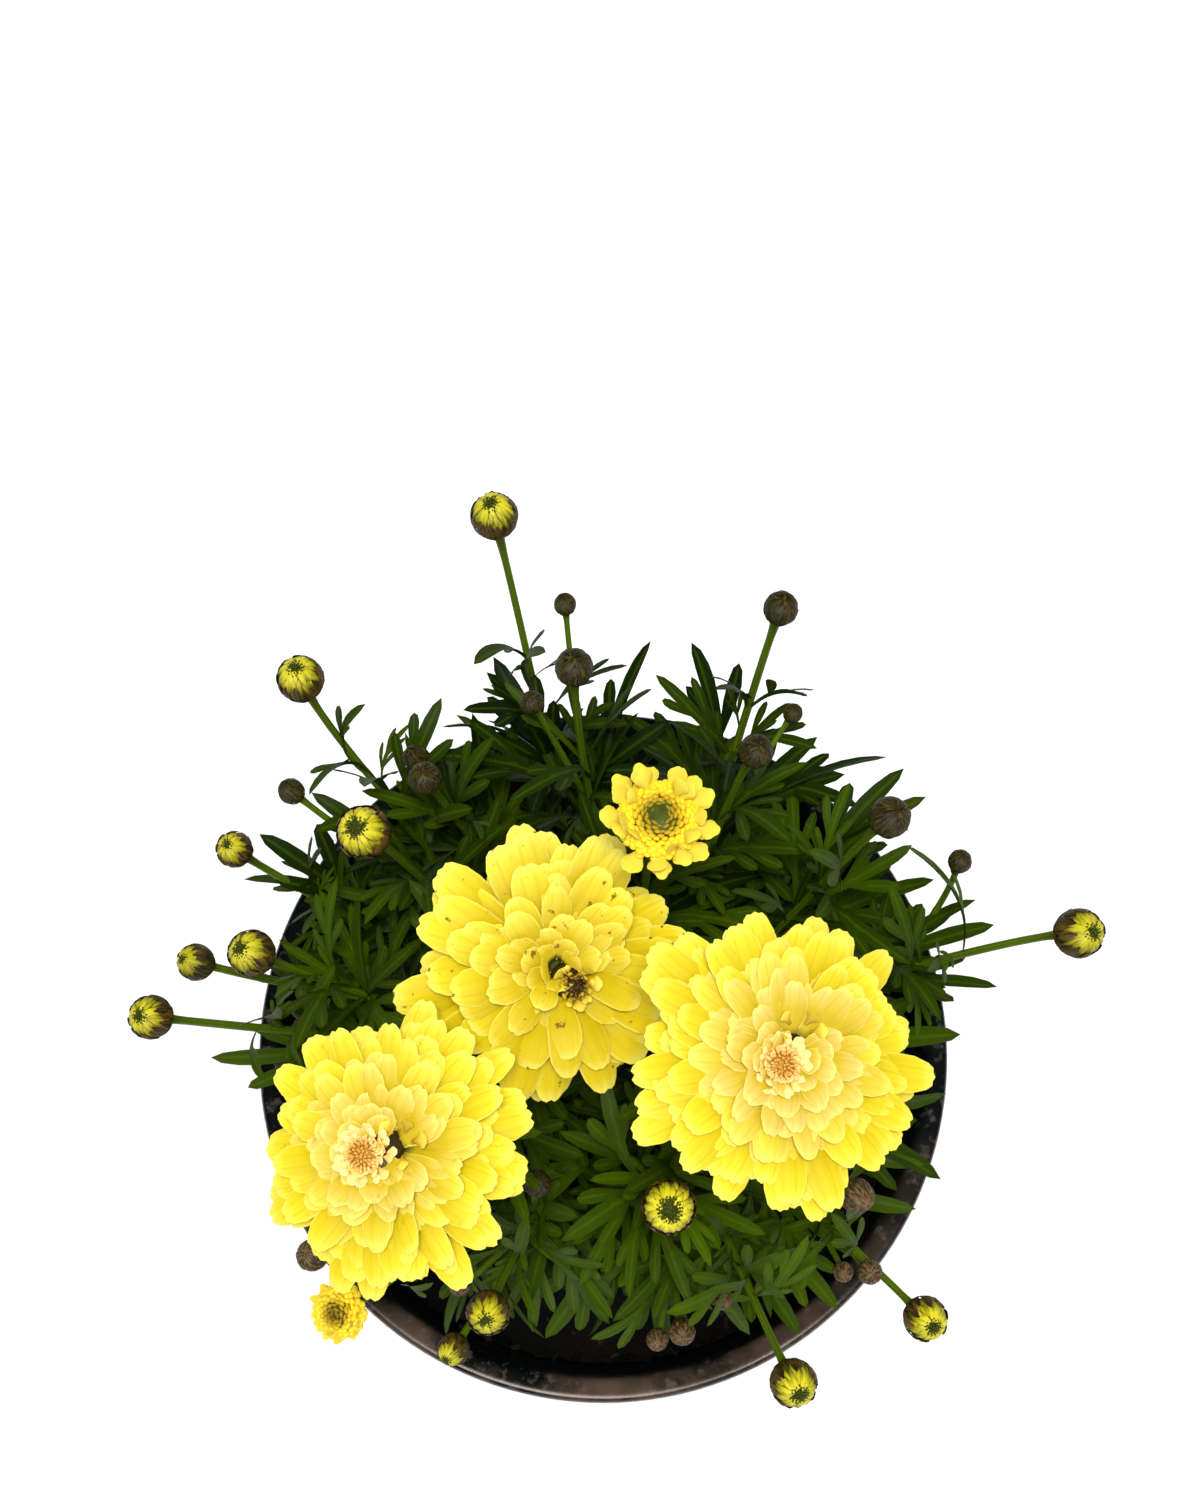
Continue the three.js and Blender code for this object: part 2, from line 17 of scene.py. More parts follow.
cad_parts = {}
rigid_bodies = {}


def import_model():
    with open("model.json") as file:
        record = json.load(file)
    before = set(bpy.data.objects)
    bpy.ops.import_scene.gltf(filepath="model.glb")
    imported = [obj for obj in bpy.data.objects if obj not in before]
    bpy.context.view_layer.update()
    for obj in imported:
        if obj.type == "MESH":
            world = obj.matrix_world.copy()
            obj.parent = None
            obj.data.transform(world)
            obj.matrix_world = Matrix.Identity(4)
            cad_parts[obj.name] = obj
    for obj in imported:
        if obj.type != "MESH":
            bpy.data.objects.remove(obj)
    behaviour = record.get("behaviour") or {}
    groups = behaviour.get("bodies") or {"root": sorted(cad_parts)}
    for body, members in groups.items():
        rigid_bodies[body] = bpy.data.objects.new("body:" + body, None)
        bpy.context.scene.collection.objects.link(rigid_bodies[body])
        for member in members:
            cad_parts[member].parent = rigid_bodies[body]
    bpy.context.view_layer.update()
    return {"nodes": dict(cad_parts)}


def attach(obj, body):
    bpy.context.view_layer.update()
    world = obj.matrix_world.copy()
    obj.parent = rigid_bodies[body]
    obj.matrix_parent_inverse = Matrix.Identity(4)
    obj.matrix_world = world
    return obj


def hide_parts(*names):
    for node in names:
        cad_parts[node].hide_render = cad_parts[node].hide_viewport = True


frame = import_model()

MM = 0.001
GOLDEN_ANGLE = math.radians(137.508)
UP = Vector((0, 0, 1))
print("nodes in the frame:", len(frame["nodes"]))

# %% [markdown]
# ## Small tools
# One function turns a colour from its sRGB hex code to the linear numbers that a shader needs.
# One adds a node with its settings and links, in a material or in a geometry tree alike. A kind
# is written without Blender's prefix, and its operation or data type may follow it. An input is
# named, or numbered where names repeat, and takes a value, a socket or a node.

# %% Colour and node tools
PREFIXES = ("ShaderNode", "GeometryNode", "FunctionNode", "")


def linear(hex_colour):
    """The linear colour of an sRGB hex code such as #3A5F0B."""
    channels = [int(hex_colour[i : i + 2], 16) / 255 for i in (1, 3, 5)]
    return (*[c / 12.92 if c <= 0.04045 else ((c + 0.055) / 1.055) ** 2.4 for c in channels], 1)


def add_node(tree, kind, inputs=None, **settings):
    """Adds a node such as "Math ADD", sets it, and links or fills its inputs."""
    kind, _, form = kind.partition(" ")
    made = tree.nodes.new(next(p + kind for p in PREFIXES if hasattr(bpy.types, p + kind)))
    if form:
        setattr(made, "operation" if hasattr(made, "operation") else "data_type", form)
    for name, value in settings.items():
        setattr(made, name, value)
    for key, value in (inputs or {}).items():
        named = (s for s in made.inputs if s.enabled and s.name == key)
        socket = made.inputs[key] if isinstance(key, int) else next(named)
        if isinstance(value, bpy.types.Node):
            value = next(s for s in value.outputs if s.enabled)
        if isinstance(value, bpy.types.NodeSocket):
            tree.links.new(value, socket)
        elif isinstance(value, str) and value.startswith("#"):
            socket.default_value = linear(value)
        else:
            socket.default_value = value
    return made


# %% [markdown]
# A leaf, a petal and a bract are thin closed bodies. Each is drawn as one sheet of faces, then
# closed with the same sheet a little lower, joined at the border. The border is kept sharp, so
# that each side shades as a smooth sheet. Numbers such as "along" and "across" are kept at each
# point for the materials, and "under" marks the faces of the lower side.

# %% Mesh tools
def in_scene(name, data):
    """A new object in the scene, at the origin."""
    made = bpy.data.objects.new(name, data)
    bpy.context.scene.collection.objects.link(made)
    return made


def mesh_object(name, points, faces, edges=()):
    """A smooth mesh object."""
    mesh = bpy.data.meshes.new(name)
    mesh.from_pydata([tuple(p) for p in points], edges, [tuple(f) for f in faces])
    mesh.shade_smooth()
    return in_scene(name, mesh)


def keep_numbers(mesh, name, domain, values):
    """Stores one number for each point or face."""
    mesh.attributes.new(name, "FLOAT", domain).data.foreach_set("value", values)


def thin_body(name, points, faces, thickness, marks):
    """A closed thin body from one sheet of faces. marks are numbers kept at each point."""
    sides = [frozenset(pair) for face in faces for pair in zip(face, face[1:] + face[:1])]
    border = {side for side, uses in Counter(sides).items() if uses == 1}
    on_border = set().union(*border)
    normals = [Vector() for _ in points]
    for face in faces:
        facing = geometry.normal([points[i] for i in face])
        for i in face:
            normals[i] += facing
    below = {}
    whole = list(points)
    for i, point in enumerate(points):
        below[i] = i if i in on_border else len(whole)
        if i not in on_border:
            whole.append(point - normals[i].normalized() * thickness)
    lower_faces = [tuple(below[i] for i in reversed(face)) for face in faces]
    made = mesh_object(name, whole, faces + lower_faces)
    for edge in made.data.edges:
        edge.use_edge_sharp = frozenset(edge.vertices) in border
    inner = [i for i in range(len(points)) if i not in on_border]
    for mark, values in marks.items():
        keep_numbers(made.data, mark, "POINT", list(values) + [values[i] for i in inner])
    keep_numbers(made.data, "under", "FACE", [0.0] * len(faces) + [1.0] * len(faces))
    return made


def joined(name, parts):
    """Several objects made one, with their materials and kept numbers."""
    with bpy.context.temp_override(active_object=parts[0], selected_editable_objects=parts):
        bpy.ops.object.join()
    parts[0].name = parts[0].data.name = name
    return parts[0]


def lifted(piece, height):
    """Moves a piece's mesh up."""
    piece.data.transform(Matrix.Translation((0, 0, height)))
    return piece


def stand(piece, head):
    """Moves a piece's mesh from the origin and +Z to the neck and axis of a head's stalk."""
    turn = UP.rotation_difference(head["stalk"]["axis"]).to_matrix().to_4x4()
    piece.data.transform(Matrix.Translation(head["stalk"]["neck"]) @ turn)
    return piece


# %% [markdown]
# A geometry tree is a small machine with named dials. `new_machine` makes the tree with its
# dials, and `grown` runs it on an object and returns a plain mesh, so that no modifier is left.

# %% Geometry tree tools
NUMBER, COUNT = "NodeSocketFloat", "NodeSocketInt"
SHAPES, FINISH = "NodeSocketCollection", "NodeSocketMaterial"


def new_machine(name, dials):
    """An empty geometry tree. dials is {name: (kind of socket, value to start from)}."""
    tree = bpy.data.node_groups.new(name, "GeometryNodeTree")
    geometry_kind = "NodeSocketGeometry"
    tree.interface.new_socket("Geometry", in_out="INPUT", socket_type=geometry_kind)
    tree.interface.new_socket("Geometry", in_out="OUTPUT", socket_type=geometry_kind)
    for label, (kind, start) in dials.items():
        socket = tree.interface.new_socket(label, in_out="INPUT", socket_type=kind)
        if start is not None:
            socket.default_value = start
    return tree, add_node(tree, "NodeGroupInput").outputs


def end_machine(tree, instances, finish):
    """Ends a tree: real meshes, the material, and the output."""
    real = add_node(tree, "RealizeInstances", {"Geometry": instances})
    painted = add_node(tree, "SetMaterial", {"Geometry": real, "Material": finish})
    add_node(tree, "NodeGroupOutput", {0: painted})


def place_shapes(tree, dial, points, kind, turn, sizes, chosen=True):
    """Puts one of the dial's shapes on each chosen point, and ends the tree."""
    drawer = add_node(tree, "CollectionInfo", {
        "Collection": dial["Shapes"], "Separate Children": True, "Reset Children": True,
    })
    placed = add_node(tree, "InstanceOnPoints", {
        "Points": points, "Selection": chosen, "Instance": drawer, "Pick Instance": True,
        "Instance Index": kind, "Rotation": turn, "Scale": sizes,
    })
    end_machine(tree, placed, dial["Finish"])


def grown(name, tree, base=None, **dials):
    """Runs a tree on base, or on nothing, and returns what it grew as a plain mesh object."""
    base = base or mesh_object("seed", [], [])
    modifier = base.modifiers.new(tree.name, "NODES")
    modifier.node_group = tree
    wanted = {label.replace("_", " "): value for label, value in dials.items()}
    for item in tree.interface.items_tree:
        if item.in_out == "INPUT" and item.name in wanted:
            modifier[item.identifier] = wanted.pop(item.name)
    assert not wanted, f"{tree.name} has no dial {list(wanted)}"
    depsgraph = bpy.context.evaluated_depsgraph_get()
    result = bpy.data.meshes.new_from_object(
        base.evaluated_get(depsgraph), preserve_all_data_layers=True, depsgraph=depsgraph
    )
    result.name = name
    bpy.data.objects.remove(base)
    return in_scene(name, result)


def shape_drawer(name, shapes):
    """A collection of shapes built one by one, out of the scene, for a tree to pick from."""
    drawer = bpy.data.collections.new(name)
    for shape in shapes:
        bpy.context.scene.collection.objects.unlink(shape)
        drawer.objects.link(shape)
    return drawer


# %% [markdown]
# ## The eye
# The picture was taken from half a metre above the rim, tilted 17 degrees. A place on the plant
# is written as [across, down, height]: picture pixels, and millimetres above the pot's rim.
# `place_of` follows the sight line through the pixel down to that height.

# %% Camera and places
EYE = Vector((-0.8, -75.9, 622.4)) * MM
TILT = math.radians(17.03)
FOCAL_PIXELS = 2000
PICTURE_CENTRE = (600, 750)
RIM_HEIGHT = 130 * MM

eye_data = bpy.data.cameras.new("eye")
eye_data.lens = 48
eye_data.sensor_width = 36
eye_data.clip_start = 0.01
camera = in_scene("eye", eye_data)
camera.location = EYE
camera.rotation_euler = (TILT, 0, 0)
bpy.context.scene.camera = camera


def place_of(at):
    """The point that shows at a pixel, at a height above the rim."""
    across, down, height = at
    ray = Vector((across - PICTURE_CENTRE[0], PICTURE_CENTRE[1] - down, -FOCAL_PIXELS))
    ray.rotate(Matrix.Rotation(TILT, 3, "X"))
    return EYE + ray * ((EYE.z - RIM_HEIGHT - height * MM) / -ray.z)


# %% [markdown]
# ## Every shoot and what it carries
# The shoots stand in a circle, numbered anticlockwise from the right. `head` is the flower or
# bud at the tip, `through` a point that the stalk heads for, and `sides` are smaller buds on
# stalks that leave at the share `off` of the main stalk. `tips` are leaf tips that can be seen.
# `open` says how far a bud has opened, from 0 for shut to 1 for a wide ring of yellow tips.

# %% The shoots
SHOOTS = [
    dict(head="bud_01", at=[1080, 933, 105], size=11, open=0.5, through=[985, 940, 72],
         sides=[dict(at=[960, 861, 92], size=5.6, off=0.6), dict(at=[853, 938, 80], size=5, off=0.45)],
         tips=[[998, 988, 62], [978, 900, 80], [947, 988, 55], [995, 925, 70]]),
    dict(head="bud_02", at=[890, 817, 112], size=9.5, open=0, through=[822, 876, 72], sides=[],
         tips=[[905, 768, 84], [927, 797, 84], [935, 880, 60]]),
    dict(head="bud_03", at=[756, 751, 112], size=8, open=0, through=[712, 818, 70],
         sides=[dict(at=[793, 713, 98], size=4.6, off=0.75)],
         tips=[[888, 759, 76], [818, 737, 72]]),
    dict(head="bud_04", at=[781, 608, 120], size=8, open=0, through=[746, 702, 78], sides=[],
         tips=[[690, 642, 80], [846, 775, 58]]),
    dict(head="young_flower_back", at=[660, 815, 128], size=21.5, through=[643, 880, 83], sides=[],
         tips=[[735, 735, 70]]),
    dict(head="bud_05", at=[574, 667, 118], size=8.8, open=0, through=[577, 770, 70],
         sides=[dict(head="bud_05_side", at=[565, 604, 112], size=5.2, off=0.72),
                dict(at=[532, 702, 100], size=5.6, off=0.62)],
         tips=[[652, 641, 72], [610, 690, 66]]),
    dict(head="bud_06", at=[494, 515, 125], size=10.6, open=0.6, through=[532, 665, 62], sides=[],
         tips=[[493, 656, 84], [484, 672, 74], [455, 715, 56]]),
    dict(head="bud_07", at=[425, 778, 100], size=7.8, open=0, through=[462, 830, 60],
         sides=[dict(at=[415, 757, 92], size=6, off=0.72)],
         tips=[[472, 712, 66], [406, 731, 54]]),
    dict(head="bud_08", at=[300, 678, 115], size=10.5, open=0.6, through=[348, 768, 72], sides=[],
         tips=[[372, 782, 60]]),
    dict(head="bud_09", at=[363, 832, 112], size=12, open=0.75, through=[428, 873, 66],
         sides=[dict(at=[291, 791, 92], size=6.2, off=0.66)], tips=[[310, 792, 86]]),
    dict(head="bud_10", at=[234, 849, 88], size=8.5, open=0.45, through=[300, 892, 52], sides=[],
         tips=[[258, 834, 72], [243, 880, 62]]),
    dict(head="bud_11", at=[251, 953, 100], size=10.5, open=0.55, through=[338, 986, 62],
         sides=[dict(head="bud_11_side", at=[195, 962, 86], size=8.5, off=0.62, open=0.3)],
         tips=[[278, 938, 62]]),
    dict(head="bud_12", at=[150, 1017, 100], size=9.8, open=0.5, through=[235, 1026, 66],
         sides=[dict(at=[300, 1010, 52], size=4.5, off=0.42), dict(at=[283, 1062, 48], size=4.5, off=0.38)],
         tips=[[210, 1057, 62], [265, 960, 60]]),
    dict(head="flower_centre", at=[556, 968, 109], size=59, through=[508, 945, 67], sides=[],
         tips=[[408, 900, 72]]),
    dict(head="flower_left", at=[379, 1150, 116], size=55, through=[464, 1152, 67], sides=[],
         tips=[[285, 1030, 40]]),
    dict(head="young_flower_front", at=[337, 1313, 64], size=14.5, through=[405, 1277, 32],
         sides=[dict(head="bud_13", at=[312, 1255, 70], size=7.5, off=0.55)], tips=[[372, 1295, 30]]),
    dict(head="bud_14", at=[488, 1313, 72], size=10, open=0.55, through=[508, 1262, 38],
         sides=[dict(at=[453, 1350, 42], size=7.6, off=0.5, open=0.55),
                dict(at=[460, 1285, 45], size=5.5, off=0.62), dict(at=[537, 1183, 74], size=6.5, off=0.55)],
         tips=[[447, 1335, 14], [525, 1310, 40]]),
    dict(head="bud_15", at=[669, 1207, 92], size=12, open=1, through=[659, 1180, 50], sides=[],
         tips=[[545, 1338, 8], [622, 1195, 84], [588, 1335, 10]]),
    dict(head="bud_16", at=[682, 1332, 35], size=6.8, open=0, through=[676, 1282, 12],
         sides=[dict(at=[657, 1340, 26], size=5.6, off=0.7), dict(at=[722, 1300, 36], size=5, off=0.6)],
         tips=[[664, 1350, 6], [750, 1335, 16]]),
    dict(head="bud_17", at=[794, 1384, 78], size=10.5, open=0.7, through=[748, 1292, 42], sides=[],
         tips=[[800, 1335, 24], [838, 1310, 24], [770, 1320, 30]]),
    dict(head="bud_18", at=[926, 1319, 72], size=10, open=0.7, through=[866, 1258, 42],
         sides=[dict(at=[870, 1272, 62], size=6, off=0.72), dict(at=[843, 1272, 55], size=5, off=0.62)],
         tips=[[870, 1260, 46], [917, 1208, 40], [925, 1165, 36]]),
    dict(head="flower_right", at=[789, 1057, 118], size=61, through=[703, 1069, 73],
         sides=[dict(head="bud_18_side", at=[857, 1196, 82], size=8, off=0.5)],
         tips=[[946, 1092, 46], [960, 1035, 56], [940, 1180, 34]]),
]
print("shoots:", len(SHOOTS), "leaf tips seen:", sum(len(s["tips"]) for s in SHOOTS))

# %% [markdown]
# ## Stalk curves
# A stalk is a Bezier curve from its foot on the woody base to the neck under its head. The same
# rule places the frame's solids, so each piece stays where the frame has it. The curves are
# kept as lists of points, because the stems, the leaves and the heads all read them.

# %% Stalk curves
MIX_TOP = 111 * MM
SEAT = 0.3 * MM
TRUNK_TOP = 3 * MM + MIX_TOP
STEPS = 40


def bezier(controls, t):
    """A point of the Bezier curve with those control points."""
    while len(controls) > 1:
        controls = [a.lerp(b, t) for a, b in zip(controls, controls[1:])]
    return controls[0]


def foot_and_lean(number):
    """Where a shoot leaves the woody base, and in which direction."""
    inner = number % 2 == 0
    outward = Matrix.Rotation(number * math.tau / len(SHOOTS), 3, "Z") @ Vector((1, 0, 0))
    foot = outward * (9 if inner else 16) * MM + UP * (MIX_TOP + (11 if inner else 8) * MM)
    return foot, (outward * (0.35 if inner else 0.6) + UP * 0.8).normalized()


def neck_length(head):
    """How far the neck of the stalk lies under the middle of the head."""
    flower = head.get("head", "").startswith("flower")
    return (14 if flower else 0.5 * head["size"]) * MM


def main_stalk(shoot, number):
    """The stalk from the woody base to a shoot's head, through the point that it heads for."""
    at, through = place_of(shoot["at"]), place_of(shoot["through"])
    axis = (at - through).normalized()
    neck = at - axis * neck_length(shoot)
    foot, lean = foot_and_lean(number)
    foot = foot + lean * SEAT
    controls = [foot, foot + lean * 22 * MM, through, neck - axis * SEAT]
    points = [bezier(controls, i / STEPS) for i in range(STEPS + 1)]
    return dict(points=points, neck=neck, axis=axis, size=shoot["size"])


def side_stalk(main, side):
    """The stalk of a smaller head, which leaves the main stalk and bends upwards."""
    at = place_of(side["at"])
    i = round(side["off"] * STEPS)
    start = main["points"][i]
    along = (main["points"][i + 1] - main["points"][i - 1]).normalized()
    reach = (at - start).length
    bend = (start + along * 0.35 * reach).lerp(at - UP * 0.45 * reach, 0.5)
    axis = (at - bend).normalized()
    neck = at - axis * neck_length(side)
    points = [bezier([start, bend, neck], i / STEPS) for i in range(STEPS + 1)]
    return dict(points=points, neck=neck, axis=axis, size=side["size"])


for number, shoot in enumerate(SHOOTS):
    shoot["stalk"] = main_stalk(shoot, number)
    for side in shoot["sides"]:
        side["stalk"] = side_stalk(shoot["stalk"], side)
HEADS = [head for shoot in SHOOTS for head in [shoot, *shoot["sides"]]]
print("heads:", len(HEADS))

# %% [markdown]
# ## Finishes
# Living tissue has no single colour. A leaf is paler on its midrib and underneath, and no two
# leaves or petals are alike. Painted shade makes a petal deeper in its grooves and near its base.
# So each material reads the numbers kept on the mesh: along, across, under, and a chance number
# of each leaf or petal. Its colour starts from one tone, and a loop lays coats over it, each with
# the share that shows; some coats are painted light and shade.


# %% Material start and end
def new_finish(name):
    """An empty material and its node tree."""
    finish = bpy.data.materials.new(name)
    finish.use_nodes = True
    finish.node_tree.nodes.clear()
    return finish, finish.node_tree


def end_finish(tree, shader):
    """Ends a material with the shader that the surface shows."""
    add_node(tree, "OutputMaterial", {"Surface": shader})


# %% [markdown]
# ## The pot
# A nursery pot is injection moulded in black polypropylene: a thin tapering wall whose top edge
# folds outwards and down into a skirt. Moulding leaves a faint sheen, and scuffs show on the lip.
# A little dried mix lies on the front of the lip, and its brown there is lightened to paint the
# highlight that the front of the lip shows; the rest is a blue black. The shape is a profile turned
# round the axis, so it is revolved in code, and the six drain holes are cut with a boolean.

# %% Pot finish
# Polypropylene: index 1.49, no metal. Its roughness of 0.2 to 0.36 is low for it, because the lip
# shines. Scuffs are 1 to 3 mm, dust about 15 mm.
pot_finish, tree = new_finish("black polypropylene, injection moulded")
place = add_node(tree, "TexCoord").outputs["Object"]
spot = add_node(tree, "SeparateXYZ", {0: place}).outputs
dust = add_node(tree, "TexNoise", {"Vector": place, "Scale": 65, "Detail": 5})
scuff = add_node(tree, "TexNoise", {"Vector": place, "Scale": 420, "Detail": 3})
dusty = add_node(tree, "MapRange", {"Value": dust, "From Min": 0.4, "From Max": 0.75})
scuffed = add_node(tree, "MapRange", {"Value": scuff, "From Min": 0.56, "From Max": 0.7})
on_lip = add_node(tree, "MapRange", {"Value": spot["Z"], "From Min": 0.124, "From Max": 0.1305})
in_front = add_node(tree, "MapRange", {"Value": spot["Y"], "From Min": -0.02, "From Max": -0.07})
worn = add_node(tree, "Math MULTIPLY", {0: scuffed, 1: on_lip})
worn = add_node(tree, "Math MULTIPLY", {0: worn, 1: 0.35})
# Brown on the front of the lip only: partly dried mix, partly a painted highlight where the front of the lip
# shines.
lip_dust_and_painted_highlight = add_node(tree, "Math MULTIPLY", {0: dusty, 1: on_lip})
lip_dust_and_painted_highlight = add_node(tree, "Math MULTIPLY", {0: lip_dust_and_painted_highlight, 1: in_front})
tone = "#03090A"
for share, coat in ((dusty, "#081213"), (lip_dust_and_painted_highlight, "#5C4A3C"), (worn, "#6E6660")):
    tone = add_node(tree, "Mix RGBA", {"Factor": share, "A": tone, "B": coat})
dullness = add_node(tree, "MapRange", {"Value": dust, "To Min": 0.2, "To Max": 0.36})
grain = add_node(tree, "TexNoise", {"Vector": place, "Scale": 900, "Detail": 2})
skin = add_node(tree, "Bump", {"Strength": 0.08, "Distance": 0.0003, "Height": grain})
end_finish(tree, add_node(tree, "BsdfPrincipled", {
    "Base Color": tone, "Roughness": dullness, "IOR": 1.49, "Specular IOR Level": 0.4,
    "Specular Tint": "#FFE9DC", "Normal": skin,
}))
print("made", pot_finish.name)

# %% Pot shape
POT_SEGMENTS = 144
WALL = 1.6
DRAIN_HOLES, DRAIN_RADIUS, DRAIN_RING = 6, 5, 42


def inner_radius(height):
    """The inside radius of the pot in millimetres."""
    return 58.4 + 21.1 * height / 130


def turned(name, profile, segments):
    """A solid turned from a profile of [radius, height] in millimetres, closed at the axis."""
    points, rings = [], []
    for radius, height in profile:
        count = 1 if radius == 0 else segments
        rings.append(range(len(points), len(points) + count))
        for j in range(count):
            turn = math.tau * j / segments
            points.append(Vector((radius * math.cos(turn), radius * math.sin(turn), height)) * MM)
    faces = []
    for low, high in zip(rings, rings[1:]):
        for j in range(segments):
            corners = [low[j % len(low)], low[(j + 1) % len(low)],
                       high[(j + 1) % len(high)], high[j % len(high)]]
            faces.append(list(dict.fromkeys(corners)))
    return mesh_object(name, points, faces)


def outer_wall(height, stand_out=0.0):
    """A profile point on the pot's outside, or on a bead that stands out from it."""
    return [inner_radius(height) + WALL + stand_out, height]


pot = turned("pot", [
    [0, 1.2], [35, 1.2], [37, 0], [58, 0], [59.4, 0.5], [60.2, 1.6], outer_wall(4),
    outer_wall(24), outer_wall(24.6, 0.5), outer_wall(26.4, 0.5), outer_wall(27),
    outer_wall(96), outer_wall(96.6, 0.6), outer_wall(98.4, 0.6), outer_wall(99),
    [80.6, 126.2], [83.1, 126.3], [83.3, 118.4], [83.6, 118], [84.7, 118], [85, 118.5],
    [85, 128.2], [84.8, 129], [84.4, 129.6], [83.7, 129.95], [82.8, 130], [81, 129.9],
    [80.1, 129.6], [79.5, 129], [79.2, 128], [inner_radius(120), 120],
    [inner_radius(60), 60], [inner_radius(4), 4], [57.8, 2.5], [56, 2.4], [0, 2.4],
], POT_SEGMENTS)

# %% Drain holes
cutters = []
for hole in range(DRAIN_HOLES):
    cutter = turned("cutter", [[0, -2], [DRAIN_RADIUS, -2], [DRAIN_RADIUS, 6], [0, 6]], 28)
    turn = hole * math.tau / DRAIN_HOLES
    ring = DRAIN_RING * MM
    cutter.data.transform(Matrix.Translation((ring * math.cos(turn), ring * math.sin(turn), 0)))
    cutters.append(cutter)
drill = joined("drill", cutters)
cut = pot.modifiers.new("drain holes", "BOOLEAN")
cut.object = drill
bpy.context.view_layer.update()
drilled = bpy.data.meshes.new_from_object(pot.evaluated_get(bpy.context.evaluated_depsgraph_get()))
pot.modifiers.clear()
pot.data = drilled
bpy.data.objects.remove(drill)
pot.data.set_sharp_from_angle(angle=math.radians(38))
pot.data.materials.clear()
pot.data.materials.append(pot_finish)
print("pot faces:", len(pot.data.polygons))

# %% [markdown]
# ## The potting mix
# The pot is filled to two centimetres under the rim with damp peat and composted bark. From
# above it is almost black, with brown chips here and there. The bed is a turned solid whose top
# is pushed up and down by noise, and chips are scattered over it by a geometry tree.

# %% Mix finishes
# Damp peat: index 1.4, roughness near 1 with few highlights. Its crumbs are 1 to 4 mm.
peat_finish, tree = new_finish("damp peat and composted bark, loose")
place = add_node(tree, "TexCoord").outputs["Object"]
crumb = add_node(tree, "TexVoronoi", {"Vector": place, "Scale": 380})
patch = add_node(tree, "TexNoise", {"Vector": place, "Scale": 120, "Detail": 6})
brown = add_node(tree, "Mix RGBA", {"Factor": patch, "A": "#04080A", "B": "#16120E"})
rough_bed = add_node(tree, "Bump", {"Strength": 0.9, "Distance": 0.001, "Height": crumb.outputs["Distance"]})
end_finish(tree, add_node(tree, "BsdfPrincipled", {
    "Base Color": brown, "Roughness": 0.92, "IOR": 1.4, "Specular IOR Level": 0.1, "Normal": rough_bed,
}))

chip_finish, tree = new_finish("bark chips, composted")
place = add_node(tree, "TexCoord").outputs["Object"]
chance = add_node(tree, "Attribute", attribute_name="chance")
fibre = add_node(tree, "TexNoise", {"Vector": place, "Scale": 700, "Detail": 4})
tone = "#080808"
for share, coat in ((chance, "#33261E"), (fibre, "#0C0A09")):
    tone = add_node(tree, "Mix RGBA", {"Factor": share, "A": tone, "B": coat})
fibres = add_node(tree, "Bump", {"Strength": 0.5, "Distance": 0.0004, "Height": fibre})
end_finish(tree, add_node(tree, "BsdfPrincipled", {
    "Base Color": tone, "Roughness": 0.85, "IOR": 1.4, "Specular IOR Level": 0.15, "Normal": fibres,
}))
print("made", peat_finish.name, "and", chip_finish.name)

# %% Mix bed
MIX_EDGE = inner_radius(111) - 0.4
MIX_RINGS = [[MIX_EDGE * k / 24, 111 + 2.5 * (1 - (k / 24) ** 2)] for k in range(23, 0, -1)]
bed = turned("bed", [
    [0, 2.7], [inner_radius(2.7) - 0.4, 2.7], [inner_radius(60) - 0.4, 60],
    [MIX_EDGE, 110.4], *MIX_RINGS, [0, 113.5],
], 96)
for vertex in bed.data.vertices:
    if vertex.co.z > 110.6 * MM:
        coarse = noise.noise(vertex.co * 90) * 1.1
        fine = noise.noise(vertex.co * 320) * 0.8
        vertex.co.z += (coarse + fine) * MM
bed.data.materials.append(peat_finish)
print("mix bed points:", len(bed.data.vertices))

# %% [markdown]
# The scatter tree drops chips on whatever faces up. Its dials are the number of chips for each
# square centimetre, their least and greatest length, and a seed. Every chip gets a chance
# number, which its finish turns into a tone.

# %% Chip scatter
def chip_shape(name, length, breadth, depth, seed):
    """A broken chip: a small turned ball, stretched and knocked out of shape."""
    made = turned(name, [[0, -500], [420, -260], [500, 200], [0, 480]], 7)
    for vertex in made.data.vertices:
        vertex.co += noise.noise_vector(vertex.co * 2 + Vector((seed, 0, 0))) * 0.28
    made.data.transform(Matrix.Diagonal((length, breadth, depth, 1)))
    made.data.shade_flat()
    return made


# Blender's vector noise is otherwise seeded by the clock, and each run would break other chips.
noise.seed_set(4)
chips = shape_drawer("chips", [
    chip_shape("chip flat", 1, 0.6, 0.25, 1),
    chip_shape("chip round", 0.7, 0.6, 0.5, 5),
    chip_shape("chip long", 1.2, 0.25, 0.2, 9),
])
scatter, dial = new_machine("scattered chips", {
    "Per Square Cm": (NUMBER, 5), "Shortest": (NUMBER, 0.0012), "Longest": (NUMBER, 0.004),
    "Seed": (COUNT, 4), "Shapes": (SHAPES, None), "Finish": (FINISH, None),
})
facing = add_node(scatter, "SeparateXYZ", {0: add_node(scatter, "InputNormal")})
faces_up = add_node(scatter, "Compare GREATER_THAN", {"A": facing.outputs["Z"], "B": 0.4})
density = add_node(scatter, "Math MULTIPLY", {0: dial["Per Square Cm"], 1: 10000})
spots = add_node(scatter, "DistributePointsOnFaces", {
    "Mesh": dial["Geometry"], "Selection": faces_up, "Density": density, "Seed": dial["Seed"],
})
length = add_node(scatter, "RandomValue", {
    "Min": dial["Shortest"], "Max": dial["Longest"], "Seed": dial["Seed"],
})
chance = add_node(scatter, "RandomValue", {"Seed": 21})
